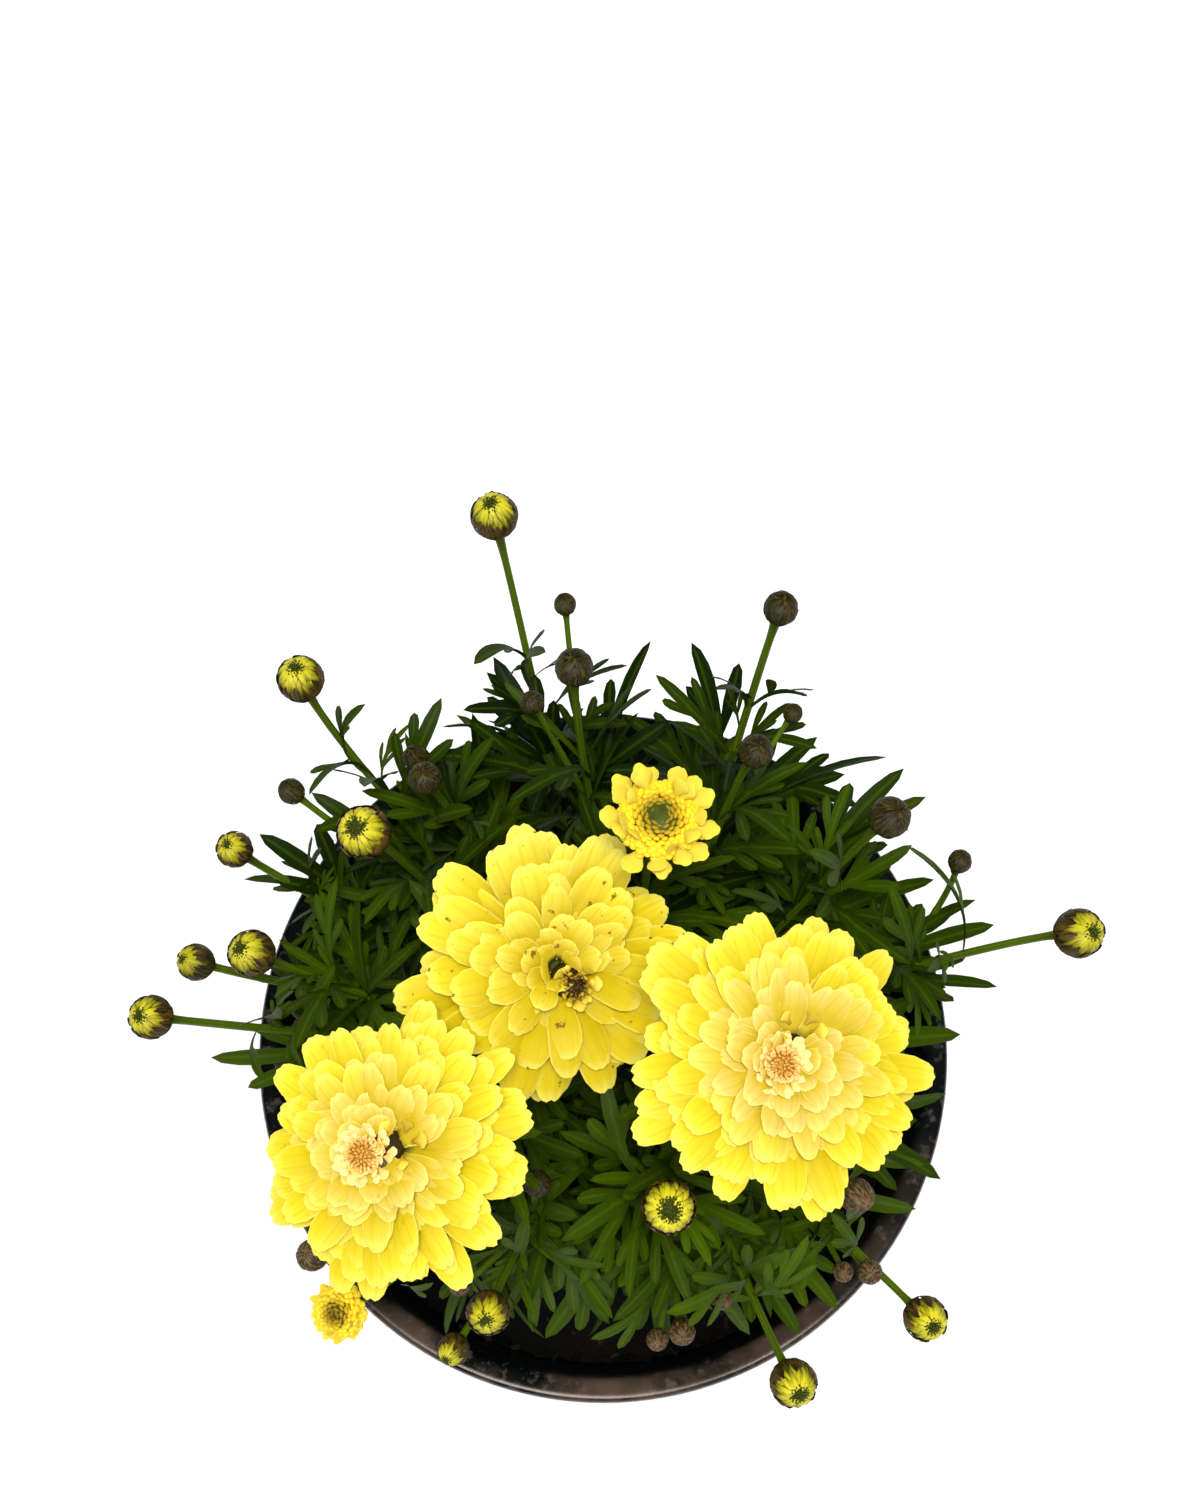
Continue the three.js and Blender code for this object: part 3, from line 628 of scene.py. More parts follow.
kept = add_node(scatter, "StoreNamedAttribute", {"Geometry": spots, "Name": "chance", "Value": chance})
tumble = add_node(scatter, "RandomValue FLOAT_VECTOR", {
    "Min": (-0.5, -0.5, 0), "Max": (0.5, 0.5, 6.28), "Seed": 22,
})
pick = add_node(scatter, "RandomValue INT", {"Min": 0, "Max": 2, "Seed": 23})
place_shapes(scatter, dial, kept, pick, tumble, length)
crumbs = grown("crumbs", scatter, in_scene("bed copy", bed.data.copy()), Shapes=chips, Finish=chip_finish)
potting_mix = joined("potting_mix", [bed, crumbs])
print("mix faces:", len(potting_mix.data.polygons))

# %% [markdown]
# ## Stems and woody base
# A marguerite is a small shrub. Its base is grey brown wood with fine cracks, and each shoot on
# it is a green stem, finely ribbed, that tapers upwards and widens again under its head. Both
# are tubes swept along a path. The tree reads the path's "thick" number at each point, and
# gives the section a rib at every other corner.

# %% Sweep tree
sweep, dial = new_machine("ribbed sweep", {
    "Sides": (COUNT, 12), "Rib": (NUMBER, 0.12), "Finish": (FINISH, None),
})
line = add_node(sweep, "MeshToCurve", {"Mesh": dial["Geometry"]})
run = add_node(sweep, "SplineParameter").outputs["Length"]
line = add_node(sweep, "StoreNamedAttribute", {"Geometry": line, "Name": "along", "Value": run})
thick = add_node(sweep, "InputNamedAttribute", {"Name": "thick"})
corner = add_node(sweep, "Math MODULO", {
    0: add_node(sweep, "InputIndex"), 1: 2,
})
section = add_node(sweep, "CurvePrimitiveCircle", {"Resolution": dial["Sides"], "Radius": 1})
section = add_node(sweep, "StoreNamedAttribute", {"Geometry": section, "Name": "rib", "Value": corner})
sunk = add_node(sweep, "Math MULTIPLY_ADD", {0: corner, 1: dial["Rib"], 2: 1})
corner_at = add_node(sweep, "VectorMath SCALE", {
    0: add_node(sweep, "InputPosition"), 3: sunk,
})
section = add_node(sweep, "SetPosition", {"Geometry": section, "Position": corner_at})
tube = add_node(sweep, "CurveToMesh", {
    "Curve": line, "Profile Curve": section, "Scale": thick, "Fill Caps": True,
})
end_machine(sweep, add_node(sweep, "SetShadeSmooth", {"Geometry": tube}), dial["Finish"])


def paths(name, runs):
    """Lines to sweep along. A run is (points, radius at each point in metres)."""
    points, edges, thick = [], [], []
    for run, radii in runs:
        edges += [(len(points) + i, len(points) + i + 1) for i in range(len(run) - 1)]
        points += run
        thick += radii
    made = mesh_object(name, points, [], edges)
    keep_numbers(made.data, "thick", "POINT", thick)
    return made


print("sweep tree ready")

# %% Stem and wood finishes
# A living stem: index 1.4, waxy, roughness about 0.5. Its ribs are paler than the grooves.
stem_finish, tree = new_finish("green stem, living, ribbed")
place = add_node(tree, "TexCoord").outputs["Object"]
rib = add_node(tree, "Attribute", attribute_name="rib")
cloud = add_node(tree, "TexNoise", {"Vector": place, "Scale": 90, "Detail": 4})
rib_share = add_node(tree, "Math MULTIPLY", {0: rib, 1: 0.4})
tone = "#324806"
for share, coat in ((cloud, "#566F08"), (rib_share, "#6C8410")):
    tone = add_node(tree, "Mix RGBA", {"Factor": share, "A": tone, "B": coat})
fuzz = add_node(tree, "TexNoise", {"Vector": place, "Scale": 1800})
stem_skin = add_node(tree, "Bump", {"Strength": 0.15, "Distance": 0.0002, "Height": fuzz})
end_finish(tree, add_node(tree, "BsdfPrincipled", {
    "Base Color": tone, "Roughness": 0.5, "IOR": 1.4, "Specular IOR Level": 0.15, "Normal": stem_skin,
}))

wood_finish, tree = new_finish("marguerite wood, grey brown bark")
place = add_node(tree, "TexCoord").outputs["Object"]
stretched = add_node(tree, "Mapping", {"Vector": place, "Scale": (900, 900, 120)})
crack = add_node(tree, "TexNoise", {"Vector": stretched, "Scale": 1, "Detail": 4})
bark = add_node(tree, "Mix RGBA", {"Factor": crack, "A": "#2B2117", "B": "#7A6A50"})
cracked = add_node(tree, "Bump", {"Strength": 0.7, "Distance": 0.0005, "Height": crack})
end_finish(tree, add_node(tree, "BsdfPrincipled", {
    "Base Color": bark, "Roughness": 0.85, "IOR": 1.45, "Specular IOR Level": 0.3, "Normal": cracked,
}))
print("made", stem_finish.name, "and", wood_finish.name)

# %% Woody base
trunk = [Vector((0, 0, z)) * MM for z in (83, 90, 97, 104, 109, 112, 114.5, 116.5, 118.6)]
trunk_radii = [r * MM for r in (3.1, 3.7, 4.3, 4.8, 5.5, 5.2, 5.0, 4.2, 2.4)]
runs = [(trunk, trunk_radii)]
for number in range(len(SHOOTS)):
    foot, lean = foot_and_lean(number)
    controls = [Vector((0, 0, TRUNK_TOP)), foot - lean * 5 * MM, foot]
    limb = [bezier(controls, i / 10) for i in range(11)]
    radii = [(2.5 - 0.6 * i / 10 + 0.15 * (i % 3)) * MM for i in range(11)]
    runs.append((limb, radii))
woody_base = grown("woody_base", sweep, paths("wood", runs), Sides=14, Rib=0.08, Finish=wood_finish)
print("woody base faces:", len(woody_base.data.polygons))

# %% Stems
def stem_radii(thickest, flare):
    """Radii up a stem: a little swollen at each node, and wider just under the head."""
    radii = []
    for i in range(STEPS + 1):
        share = i / STEPS
        radius = thickest * (1 - 0.22 * share) + 0.09 * (i % 5 == 0) * (share < 0.7)
        radius += flare * max(0, (share - 0.93) / 0.07) ** 1.5
        radii.append(radius * MM)
    return radii


stems = []
for number, shoot in enumerate(SHOOTS):
    flower = shoot["head"].startswith("flower")
    runs = [(shoot["stalk"]["points"], stem_radii(1.15 if flower else 0.95, 0.9 if flower else 0.4))]
    for side in shoot["sides"]:
        runs.append((side["stalk"]["points"], stem_radii(0.08 * side["size"] + 0.3, 0.2)))
    stems.append(grown("stem", sweep, paths("stem", runs), Finish=stem_finish))
print("stems:", len(stems))

# %% [markdown]
# ## Leaves
# A marguerite leaf is a thin fleshy blade about 4 cm long. It widens from a long stalk and is cut
# into forward-pointing lobes, 3 to 4 mm wide, with a paler midrib in each. Seven leaves are
# built one by one as strips of faces, each with other lobes, arch and twist, and the geometry tree
# repeats them. Their colour deepens with age, and the underside is paler. Painted shade also
# darkens the leaves at the back of the pot, and painted light lightens those at the front.

# %% Leaf finish
# A leaf: index 1.4, waxy and matt, roughness about 0.5. Side veins lie about 2 mm apart.
leaf_finish, tree = new_finish("marguerite leaf, living, waxy")
place = add_node(tree, "TexCoord").outputs["Object"]
tint, vein, under = (
    add_node(tree, "Attribute", attribute_name=name) for name in ("tint", "vein", "under")
)
cloud = add_node(tree, "TexNoise", {"Vector": place, "Scale": 110, "Detail": 4})
netting = add_node(tree, "TexVoronoi", {"Vector": place, "Scale": 520}, feature="SMOOTH_F1")
patchy = add_node(tree, "MapRange", {"Value": cloud, "From Min": 0.3, "From Max": 0.75, "To Max": 0.35})
midrib = add_node(tree, "MapRange", {"Value": vein, "From Min": 0.7, "From Max": 1, "To Max": 0.2})
paler = add_node(tree, "Math MULTIPLY", {0: under, 1: 0.55})
tone = "#122402"
for share, coat in ((tint, "#4E6804"), (patchy, "#243C02"), (midrib, "#7A9016"), (paler, "#56702A")):
    tone = add_node(tree, "Mix RGBA", {"Factor": share, "A": tone, "B": coat})
height = add_node(tree, "Math SUBTRACT", {0: vein, 1: netting.outputs["Distance"]})
leaf_skin = add_node(tree, "Bump", {"Strength": 0.3, "Distance": 0.0004, "Height": height})
blade = add_node(tree, "BsdfPrincipled", {
    "Base Color": tone, "Roughness": 0.52, "IOR": 1.4, "Specular IOR Level": 0.1, "Normal": leaf_skin,
})
glow = add_node(tree, "BsdfTranslucent", {"Color": tone, "Normal": leaf_skin})
end_finish(tree, add_node(tree, "MixShader", {0: 0.3, 1: blade, 2: glow}))
print("made", leaf_finish.name)

# %% Leaf shapes
LEAF_ROWS = [0, 0.1, 0.2, 0.28, 0.34, 0.4, 0.46, 0.52, 0.58, 0.64, 0.7, 0.78, 0.87, 0.95]
LEAF_HALF_WIDTHS = [[0, 0.02], [0.3, 0.03], [0.6, 0.048], [0.8, 0.058], [0.9, 0.05], [0.96, 0.034], [1, 0.0]]


def read_off(table, x):
    """Reads a value off a table of [x, value], in straight lines between its entries."""
    for (x0, y0), (x1, y1) in zip(table, table[1:]):
        if x <= x1:
            return y0 + (y1 - y0) * (x - x0) / (x1 - x0)
    return table[-1][1]


def leaf_shape(name, lobes, arch, fold, twist, breadth=1.0):
    """A leaf one unit long. A lobe is [row it starts at, side, angle, length, half width]."""
    points, vein, faces = [], [], []

    def put(x, y, at_vein):
        points.append(Vector((x, y, 0)))
        vein.append(at_vein)
        return len(points) - 1

    rows = []
    for x in LEAF_ROWS:
        half = read_off(LEAF_HALF_WIDTHS, x) * breadth
        rows.append({1: put(x, half, 0.0), 0: put(x, 0, 1.0), -1: put(x, -half, 0.0)})
    tip = put(1, 0, 0.6)
    for low, high in zip(rows, rows[1:]):
        for side in (1, -1):
            faces.append([low[0], high[0], high[side], low[side]])
    for side in (1, -1):
        faces.append([rows[-1][0], tip, rows[-1][side]])
    for row, side, angle, length, half in lobes:
        near, middle, far = (rows[row + k][side] for k in range(3))
        vein[middle] = 0.55
        start = points[middle].copy()
        ahead = Vector((math.cos(math.radians(angle)), side * math.sin(math.radians(angle)), 0))
        beside = Vector((-ahead.y, ahead.x, 0)) * side * half
        for share, wide in ((0.36, 0.92), (0.66, 1.05), (0.9, 0.72)):
            at = start + ahead * length * share
            step = [put(*(at + beside * wide).xy, 0.0), put(*at.xy, 1.0), put(*(at - beside * wide).xy, 0.0)]
            faces.append([near, middle, step[1], step[0]])
            faces.append([middle, far, step[2], step[1]])
            near, middle, far = step
        end = put(*(start + ahead * length).xy, 0.5)
        faces.append([near, middle, end])
        faces.append([middle, far, end])
    along = [point.x for point in points]
    for i, face in enumerate(faces):
        if geometry.normal([points[k] for k in face]).z < 0:
            faces[i] = face[::-1]
    for point in points:
        x, y = point.x, point.y
        rise = arch * 4 * x * (1 - x) + fold * math.sqrt(y * y + 0.0004) - 0.9 * y * y
        turn = twist * x
        point.y = y * math.cos(turn) - rise * math.sin(turn) * 0.3
        point.z = rise + y * math.sin(turn)
    return thin_body(name, points, faces, 0.009, {"vein": vein, "along": along})


leaf_shapes = shape_drawer("leaf shapes", [
    leaf_shape("leaf 1", [[3, 1, 32, 0.26, 0.038], [5, -1, 30, 0.32, 0.042],
                          [7, 1, 26, 0.3, 0.044]], 0.12, 0.35, 0.1),
    leaf_shape("leaf 2", [[6, 1, 27, 0.34, 0.044], [6, -1, 31, 0.36, 0.046]], 0.08, 0.5, -0.3),
    leaf_shape("leaf 3", [[3, -1, 36, 0.22, 0.036], [5, 1, 34, 0.32, 0.042], [6, -1, 30, 0.34, 0.044],
                          [9, 1, 25, 0.2, 0.038]], 0.16, 0.25, 0.2),
    leaf_shape("leaf 4", [[7, 1, 24, 0.26, 0.04], [8, -1, 22, 0.2, 0.036]], 0.18, 0.6, 0.35, 0.95),
    leaf_shape("leaf 5", [[4, 1, 34, 0.3, 0.042], [5, -1, 33, 0.3, 0.044], [8, 1, 26, 0.25, 0.042],
                          [8, -1, 28, 0.26, 0.044]], 0.2, 0.3, -0.15, 1.1),
    leaf_shape("leaf 6", [[4, -1, 34, 0.26, 0.04], [7, 1, 28, 0.33, 0.048]], 0.14, 0.4, 0.5, 1.1),
    leaf_shape("leaf 7", [[6, 1, 23, 0.24, 0.038]], 0.1, 0.7, -0.5, 0.95),
])
LEAF_KINDS = len(leaf_shapes.objects)

# %% [markdown]
# The leaf tree puts one leaf on each point it is given. The point keeps where the leaf aims,
# which way its upper side faces, how long it is, which shape it has, and its tint from age with
# painted light at the front and painted shade at the back.

# %% Leaf tree
foliage, dial = new_machine("leaves on points", {
    "Breadth": (NUMBER, 1.0), "Shapes": (SHAPES, None), "Finish": (FINISH, None),
})
aim, facing, size, kind = (
    add_node(foliage, "InputNamedAttribute", {"Name": name}, data_type=data_type)
    for name, data_type in (
        ("aim", "FLOAT_VECTOR"), ("facing", "FLOAT_VECTOR"), ("size", "FLOAT"), ("kind", "INT"),
    )
)
turn = add_node(foliage, "AxesToRotation", {
    "Primary Axis": aim, "Secondary Axis": facing,
}, primary_axis="X", secondary_axis="Z")
broad = add_node(foliage, "Math MULTIPLY", {0: size, 1: dial["Breadth"]})
sizes = add_node(foliage, "CombineXYZ", {"X": size, "Y": broad, "Z": size})
place_shapes(foliage, dial, dial["Geometry"], kind, turn, sizes)
print("leaf tree ready")

# %% [markdown]
# ## Where the leaves go
# Leaves climb a stem by the golden angle and spread less towards the top. A tip is kept above
# the mix and clear of the pot's wall, and a leaf that would pass through a head or hide one
# from the eye is left out. Where a tip can be seen in the picture, the leaf is aimed at it.

# %% Leaf placing rules
LEAVES_PER_SHOOT = 30
FIRST_LEAF, LAST_LEAF = 0.16, 0.74
SHORTEST_LEAF, LONGEST_LEAF, USUAL_LEAF = 30 * MM, 50 * MM, 42 * MM
FARTHEST_TIP, NEAR_WALL, CLEARANCE = 72 * MM, 68 * MM, 6 * MM
LEAFY_STEPS = range(6, 31)
chooser = random.Random(7)


def kept_clear(tip):
    """Keeps a tip over the pot, above the mix, and above the rim when it is near the wall."""
    reach = math.hypot(tip.x, tip.y)
    farthest = FARTHEST_TIP - chooser.uniform(0, 8) * MM
    nearer = min(1, farthest / reach)
    lowest = (RIM_HEIGHT if reach > NEAR_WALL else MIX_TOP) + CLEARANCE
    return Vector((tip.x * nearer, tip.y * nearer, max(tip.z, lowest)))


def spoils_a_head(start, tip):
    """True if the leaf passes through a head, or in front of one for the eye."""
    for head in HEADS:
        stalk = head["stalk"]
        centre = stalk["neck"] + stalk["axis"] * neck_length(head)
        radius = 0.5 * head["size"] * MM
        for share in (0.35, 0.55, 0.75, 0.9, 1):
            point = start.lerp(tip, share)
            if (point - centre).length < radius * 0.9:
                return True
            sight = point - EYE
            aside = (centre - EYE).cross(sight.normalized()).length
            if sight.length < (centre - EYE).length and aside < radius:
                return True
    return False


def leaf(start, tip, along, young, kind=None):
    """The numbers of one leaf: its place, aim, facing, length, shape, and a tint from its age with painted
    light and shade by where it stands.
    """
    aim = (tip - start).normalized()
    skyward = along + UP
    facing = skyward - aim * skyward.dot(aim)
    facing.rotate(Matrix.Rotation(chooser.uniform(-0.6, 0.6), 3, aim))
    kind = chooser.randrange(LEAF_KINDS) if kind is None else kind
    # The tint: lighter for younger leaves, and lighter at the front and darker at the back of the pot, which
    # is painted light and shade.
    tint = min(1, max(0, young - 0.1 - 6 * start.y + chooser.uniform(-0.25, 0.25)))
    return dict(start=start, aim=aim, facing=facing, size=(tip - start).length, kind=kind, tint=tint)


def leaves_by_rule(points, number):
    """The leaves that climb a stem by the golden angle, without those that spoil a head."""
    grown_leaves = []
    for j in range(LEAVES_PER_SHOOT):
        share = j / (LEAVES_PER_SHOOT - 1)
        i = round((FIRST_LEAF + (LAST_LEAF - FIRST_LEAF) * share) * STEPS)
        along = (points[i + 1] - points[i - 1]).normalized()
        side = UP.cross(along).normalized()
        side.rotate(Matrix.Rotation(j * GOLDEN_ANGLE + number, 3, along))
        spread = math.radians(76 - 38 * share + chooser.uniform(-12, 12))
        length = chooser.uniform(SHORTEST_LEAF, LONGEST_LEAF) * (1 - 0.25 * share)
        tip = kept_clear(points[i] + (along * math.cos(spread) + side * math.sin(spread)) * length)
        if not spoils_a_head(points[i], tip):
            grown_leaves.append(leaf(points[i], tip, along, 0.25 + 0.5 * share))
    return grown_leaves


def leaf_to_tip(points, at):
    """A leaf to a tip that can be seen, from where on the stem its length is most usual."""
    tip = place_of(at)
    i = min(LEAFY_STEPS, key=lambda k: abs((points[k] - tip).length - USUAL_LEAF))
    along = (points[i + 1] - points[i - 1]).normalized()
    return leaf(points[i], tip, along, 0.5)


def leaf_points(leaves):
    """A mesh of loose points that keep each leaf's numbers for the tree."""
    made = mesh_object("leaf points", [one["start"] for one in leaves], [])
    attributes = made.data.attributes
    for name in ("aim", "facing"):
        flat = [number for one in leaves for number in one[name]]
        attributes.new(name, "FLOAT_VECTOR", "POINT").data.foreach_set("vector", flat)
    for name in ("size", "tint"):
        keep_numbers(made.data, name, "POINT", [one[name] for one in leaves])
    attributes.new("kind", "INT", "POINT").data.foreach_set("value", [one["kind"] for one in leaves])
    return made


# %% Grow the leaves
foliages, leaf_count = [], 0
for number, shoot in enumerate(SHOOTS):
    points = shoot["stalk"]["points"]
    leaves = [leaf_to_tip(points, at) for at in shoot["tips"]] + leaves_by_rule(points, number)
    leaf_count += len(leaves)
    foliages.append(grown(
        "leaves", foliage, leaf_points(leaves), Breadth=0.8, Shapes=leaf_shapes, Finish=leaf_finish,
    ))
print("leaves:", leaf_count)

# %% [markdown]
# ## Tongues and beads
# Petals, bud rays and bracts are all tongues: a strip that widens, ends in a rounded or toothed
# tip, curls along its length and is dished across. Disc florets are small beads. Each tongue is
# turned and scaled so that its base lies at 0 and its tip at 1, which lets a tree aim it exactly.

# %% Tongue and bead shapes
def tongue(name, half_widths, curl, dish, teeth, blunt=0.14, ridge=0.0, thickness=0.014):
    """A thin tongue, one unit long and one wide. It curls up and its sides rise if positive."""
    rows, columns = len(half_widths) - 1, len(teeth) - 1
    stations = [(r / rows) ** 0.8 for r in range(rows + 1)]
    points, along, across = [], [], []
    spine, before = Vector((0, 0, 0)), 0.0
    for u, half in zip(stations, half_widths):
        halfway = curl * (u + before) / 2
        spine += Vector((math.cos(halfway), 0, math.sin(halfway))) * (u - before)
        before = u
        ahead = Vector((math.cos(curl * u), 0, math.sin(curl * u)))
        lift = Vector((-ahead.z, 0, ahead.x))
        for c, tooth in enumerate(teeth):
            v = 2 * c / columns - 1
            groove = -1 if c in (columns // 3, columns - columns // 3) else 0.4
            crown = dish * v * v * (1 - 0.5 * u * u) + ridge * groove * (1 - v**6) * (1 - u**4)
            point = spine + ahead * (tooth * u**8 - blunt * abs(v) ** 3 * u**3) + lift * crown
            point.y = v * half
            points.append(point)
            along.append(u)
            across.append(v)
    width = columns + 1
    faces = [
        [r * width + c, (r + 1) * width + c, (r + 1) * width + c + 1, r * width + c + 1]
        for r in range(rows) for c in range(columns)
    ]
    tip = points[rows * width + columns // 2].copy()
    level = Matrix.Rotation(math.atan2(tip.z, tip.x), 3, "Y") @ Matrix.Diagonal((1, tip.length, 1))
    points = [(level @ point) / tip.length for point in points]
    return thin_body(name, points, faces, thickness, {"along": along, "across": across})


def bead(name, sides=6):
    """A floret: a small upright bead with a rounded tip, one unit long."""
    made = turned(name, [[0, 0], [230, 60], [350, 420], [300, 780], [130, 960], [0, 1000]], sides)
    made.data.transform(Matrix.Rotation(math.radians(90), 4, "Y"))
    made.data.transform(Matrix.Diagonal((1, 1.43, 1, 1)))
    keep_numbers(made.data, "along", "POINT", [v.co.x for v in made.data.vertices])
    return made


THREE_TEETH = [0, 0.006, -0.01, 0.006, -0.01, 0.006, 0]
TWO_TEETH = [0, 0.004, 0.008, -0.018, 0.008, 0.004, 0]
ROUND_TIP = [0, 0, 0, 0, 0, 0, 0]
BROAD = [0.2, 0.3, 0.41, 0.48, 0.5, 0.47, 0.34]
petal_shapes = shape_drawer("petal shapes", [
    tongue("petal 1", BROAD, -0.5, -0.045, THREE_TEETH, 0.045, 0.01),
    tongue("petal 2", BROAD, -0.75, -0.055, TWO_TEETH, 0.055, 0.011),
    tongue("petal 3", BROAD, -0.7, -0.06, THREE_TEETH, 0.065, 0.012),
    tongue("petal 4", BROAD, -0.8, -0.055, ROUND_TIP, 0.08, 0.012),
    tongue("petal 5", BROAD, -0.6, -0.07, TWO_TEETH, 0.1, 0.014),
    tongue("petal 6", BROAD, -0.4, 0.04, ROUND_TIP, 0.13, 0.014),
])
SPOON = [0.14, 0.17, 0.3, 0.45, 0.5, 0.44, 0.3]
spoon_shapes = shape_drawer("spoon shapes", [
    tongue("spoon 1", SPOON, 0.4, 0.12, ROUND_TIP, 0.12),
    tongue("spoon 2", SPOON, -0.4, 0.08, ROUND_TIP, 0.16),
    tongue("spoon 3", SPOON, 0.9, 0.18, ROUND_TIP, 0.14),
    tongue("spoon 4", SPOON, -0.7, 0.06, TWO_TEETH, 0.1),
])
BLUNT_STRIP = [0.3, 0.42, 0.5, 0.48, 0.34]
ray_shapes = shape_drawer("ray shapes", [
    tongue("ray 1", BLUNT_STRIP, -1.05, -0.09, [0, 0, 0, 0, 0], 0.1, 0, 0.06),
    tongue("ray 2", BLUNT_STRIP, -1.2, -0.1, [0, 0.02, -0.02, 0.02, 0], 0.1, 0, 0.06),
])
LANCE = [0.36, 0.48, 0.5, 0.42, 0.2]
bract_shapes = shape_drawer("bract shapes", [
    tongue("bract 1", LANCE, -0.9, -0.06, [0, 0.03, 0.08, 0.02, 0], 0.14, 0, 0.03),
    tongue("bract 2", LANCE, -0.75, -0.07, [0.03, 0, 0.05, 0.04, -0.02], 0.12, 0, 0.03),
    tongue("bract 3", LANCE, -0.95, -0.06, [0, 0.05, 0.03, 0.06, 0], 0.14, 0, 0.03),
])
bead_shapes = shape_drawer("bead shapes", [bead("bead")])

# %% [markdown]
# ## A spiral on a ball
# Bracts overlap in a spiral round a bud, rays close over its top, and florets crowd a disc. One
# tree makes all three. It spaces its shapes evenly over a ball from one latitude to another, by
# the golden angle. "Lift" tips a shape away from the ball: 0 lies flat, a quarter turn stands up.

# %% Spiral parts
def spiral_ranks(tree, dial, count):
    """Each point's order, its rank from 0 to 1, a chance number and three loose numbers."""
    order = add_node(tree, "InputIndex")
    last = add_node(tree, "Math SUBTRACT", {0: count, 1: 1})
    rank = add_node(tree, "Math DIVIDE", {0: order, 1: last})
    other_seed = add_node(tree, "Math ADD", {0: dial["Seed"], 1: 50})
    chance = add_node(tree, "RandomValue", {"Seed": other_seed})
    jitter = add_node(tree, "RandomValue FLOAT_VECTOR", {
        "Min": (-1, -1, -1), "Max": (1, 1, 1), "Seed": dial["Seed"],
    })
    jitter = add_node(tree, "VectorMath SCALE", {0: jitter, 3: dial["Looseness"]})
    return order, rank, chance, add_node(tree, "SeparateXYZ", {0: jitter}).outputs


def spiral_points(tree, count, spot, rank, chance):
    """That many points, each at its spot, which keep their rank and chance for the finish."""
    row = add_node(tree, "MeshLine", {"Count": count})
    row = add_node(tree, "SetPosition", {"Geometry": row, "Position": spot})
    for name, value in (("rank", rank), ("chance", chance)):
        row = add_node(tree, "StoreNamedAttribute", {"Geometry": row, "Name": name, "Value": value})
    return row


# %% Ball tree
ball, dial = new_machine("spiral on a ball", {
    "Count": (COUNT, 30), "Ball Radius": (NUMBER, 0.005), "Ball Height": (NUMBER, 0.005),
    "First Latitude": (NUMBER, -1.0), "Last Latitude": (NUMBER, 0.5),
    "First Length": (NUMBER, 0.003), "Last Length": (NUMBER, 0.003),
    "First Width": (NUMBER, 0.002), "Last Width": (NUMBER, 0.002),
    "First Lift": (NUMBER, 0.0), "Last Lift": (NUMBER, 0.0), "Looseness": (NUMBER, 0.08),
    "Seed": (COUNT, 1), "Shapes": (SHAPES, None), "Finish": (FINISH, None),
})
order, rank, chance, jitter = spiral_ranks(ball, dial, dial["Count"])
low = add_node(ball, "Math SINE", {0: dial["First Latitude"]})
high = add_node(ball, "Math SINE", {0: dial["Last Latitude"]})
level = add_node(ball, "Mix", {"Factor": rank, "A": low, "B": high})
latitude = add_node(ball, "Math ARCSINE", {0: level})
latitude = add_node(ball, "Math ADD", {0: latitude, 1: jitter["X"]})
around = add_node(ball, "Math MULTIPLY_ADD", {0: order, 1: GOLDEN_ANGLE, 2: jitter["Y"]})
flat = add_node(ball, "Math COSINE", {0: latitude})
steep = add_node(ball, "Math SINE", {0: latitude})
out = add_node(ball, "Math MULTIPLY", {0: flat, 1: dial["Ball Radius"]})
up = add_node(ball, "Math MULTIPLY", {0: steep, 1: dial["Ball Height"]})
meridian_point = add_node(ball, "CombineXYZ", {"X": out, "Z": up})
spot = add_node(ball, "VectorRotate", {
    "Vector": meridian_point, "Angle": around,
}, rotation_type="Z_AXIS")
lift = add_node(ball, "Mix", {"Factor": rank, "A": dial["First Lift"], "B": dial["Last Lift"]})
tilt = add_node(ball, "Math SUBTRACT", {0: lift, 1: latitude})
tilt = add_node(ball, "Math SUBTRACT", {0: tilt, 1: math.pi / 2})
roll = add_node(ball, "Math ADD", {0: jitter["Z"], 1: math.pi})
turn = add_node(ball, "CombineXYZ", {"X": roll, "Y": tilt, "Z": around})
length = add_node(ball, "Mix", {"Factor": rank, "A": dial["First Length"], "B": dial["Last Length"]})
width = add_node(ball, "Mix", {"Factor": rank, "A": dial["First Width"], "B": dial["Last Width"]})
uneven = add_node(ball, "MapRange", {"Value": chance, "To Min": 0.9, "To Max": 1.1})
sizes = add_node(ball, "CombineXYZ", {"X": length, "Y": width, "Z": length})
sizes = add_node(ball, "VectorMath SCALE", {0: sizes, 3: uneven})
row = spiral_points(ball, dial["Count"], spot, rank, chance)
place_shapes(ball, dial, row, order, turn, sizes)
print("ball tree ready")


# %% Spiral on a ball
def spiral(name, count, radius, height, latitudes, lengths, widths, lifts, looseness, seed, shapes, finish):
    """Shapes in a spiral on a ball. Each pair holds the first shape's value and the last one's."""
    dials = {"Ball Radius": radius, "Ball Height": height}
    pairs = {"Latitude": latitudes, "Length": lengths, "Width": widths, "Lift": lifts}
    for part, (first, last) in pairs.items():
        dials[f"First {part}"] = first
        dials[f"Last {part}"] = last
    dials.update(Count=count, Looseness=looseness, Seed=seed, Shapes=shapes, Finish=finish)
    return grown(name, ball, **dials)


print("spiral on a ball ready")

# %% [markdown]
# ## Buds
# A bud is a ball of dark overlapping bracts with dry papery edges. As it opens, yellow ray tips
# push out between them and close over the top in a ring round a dark green centre. So a bud is
# a plain core, a spiral of bracts, and on an open one a spiral of rays and a cluster of beads.

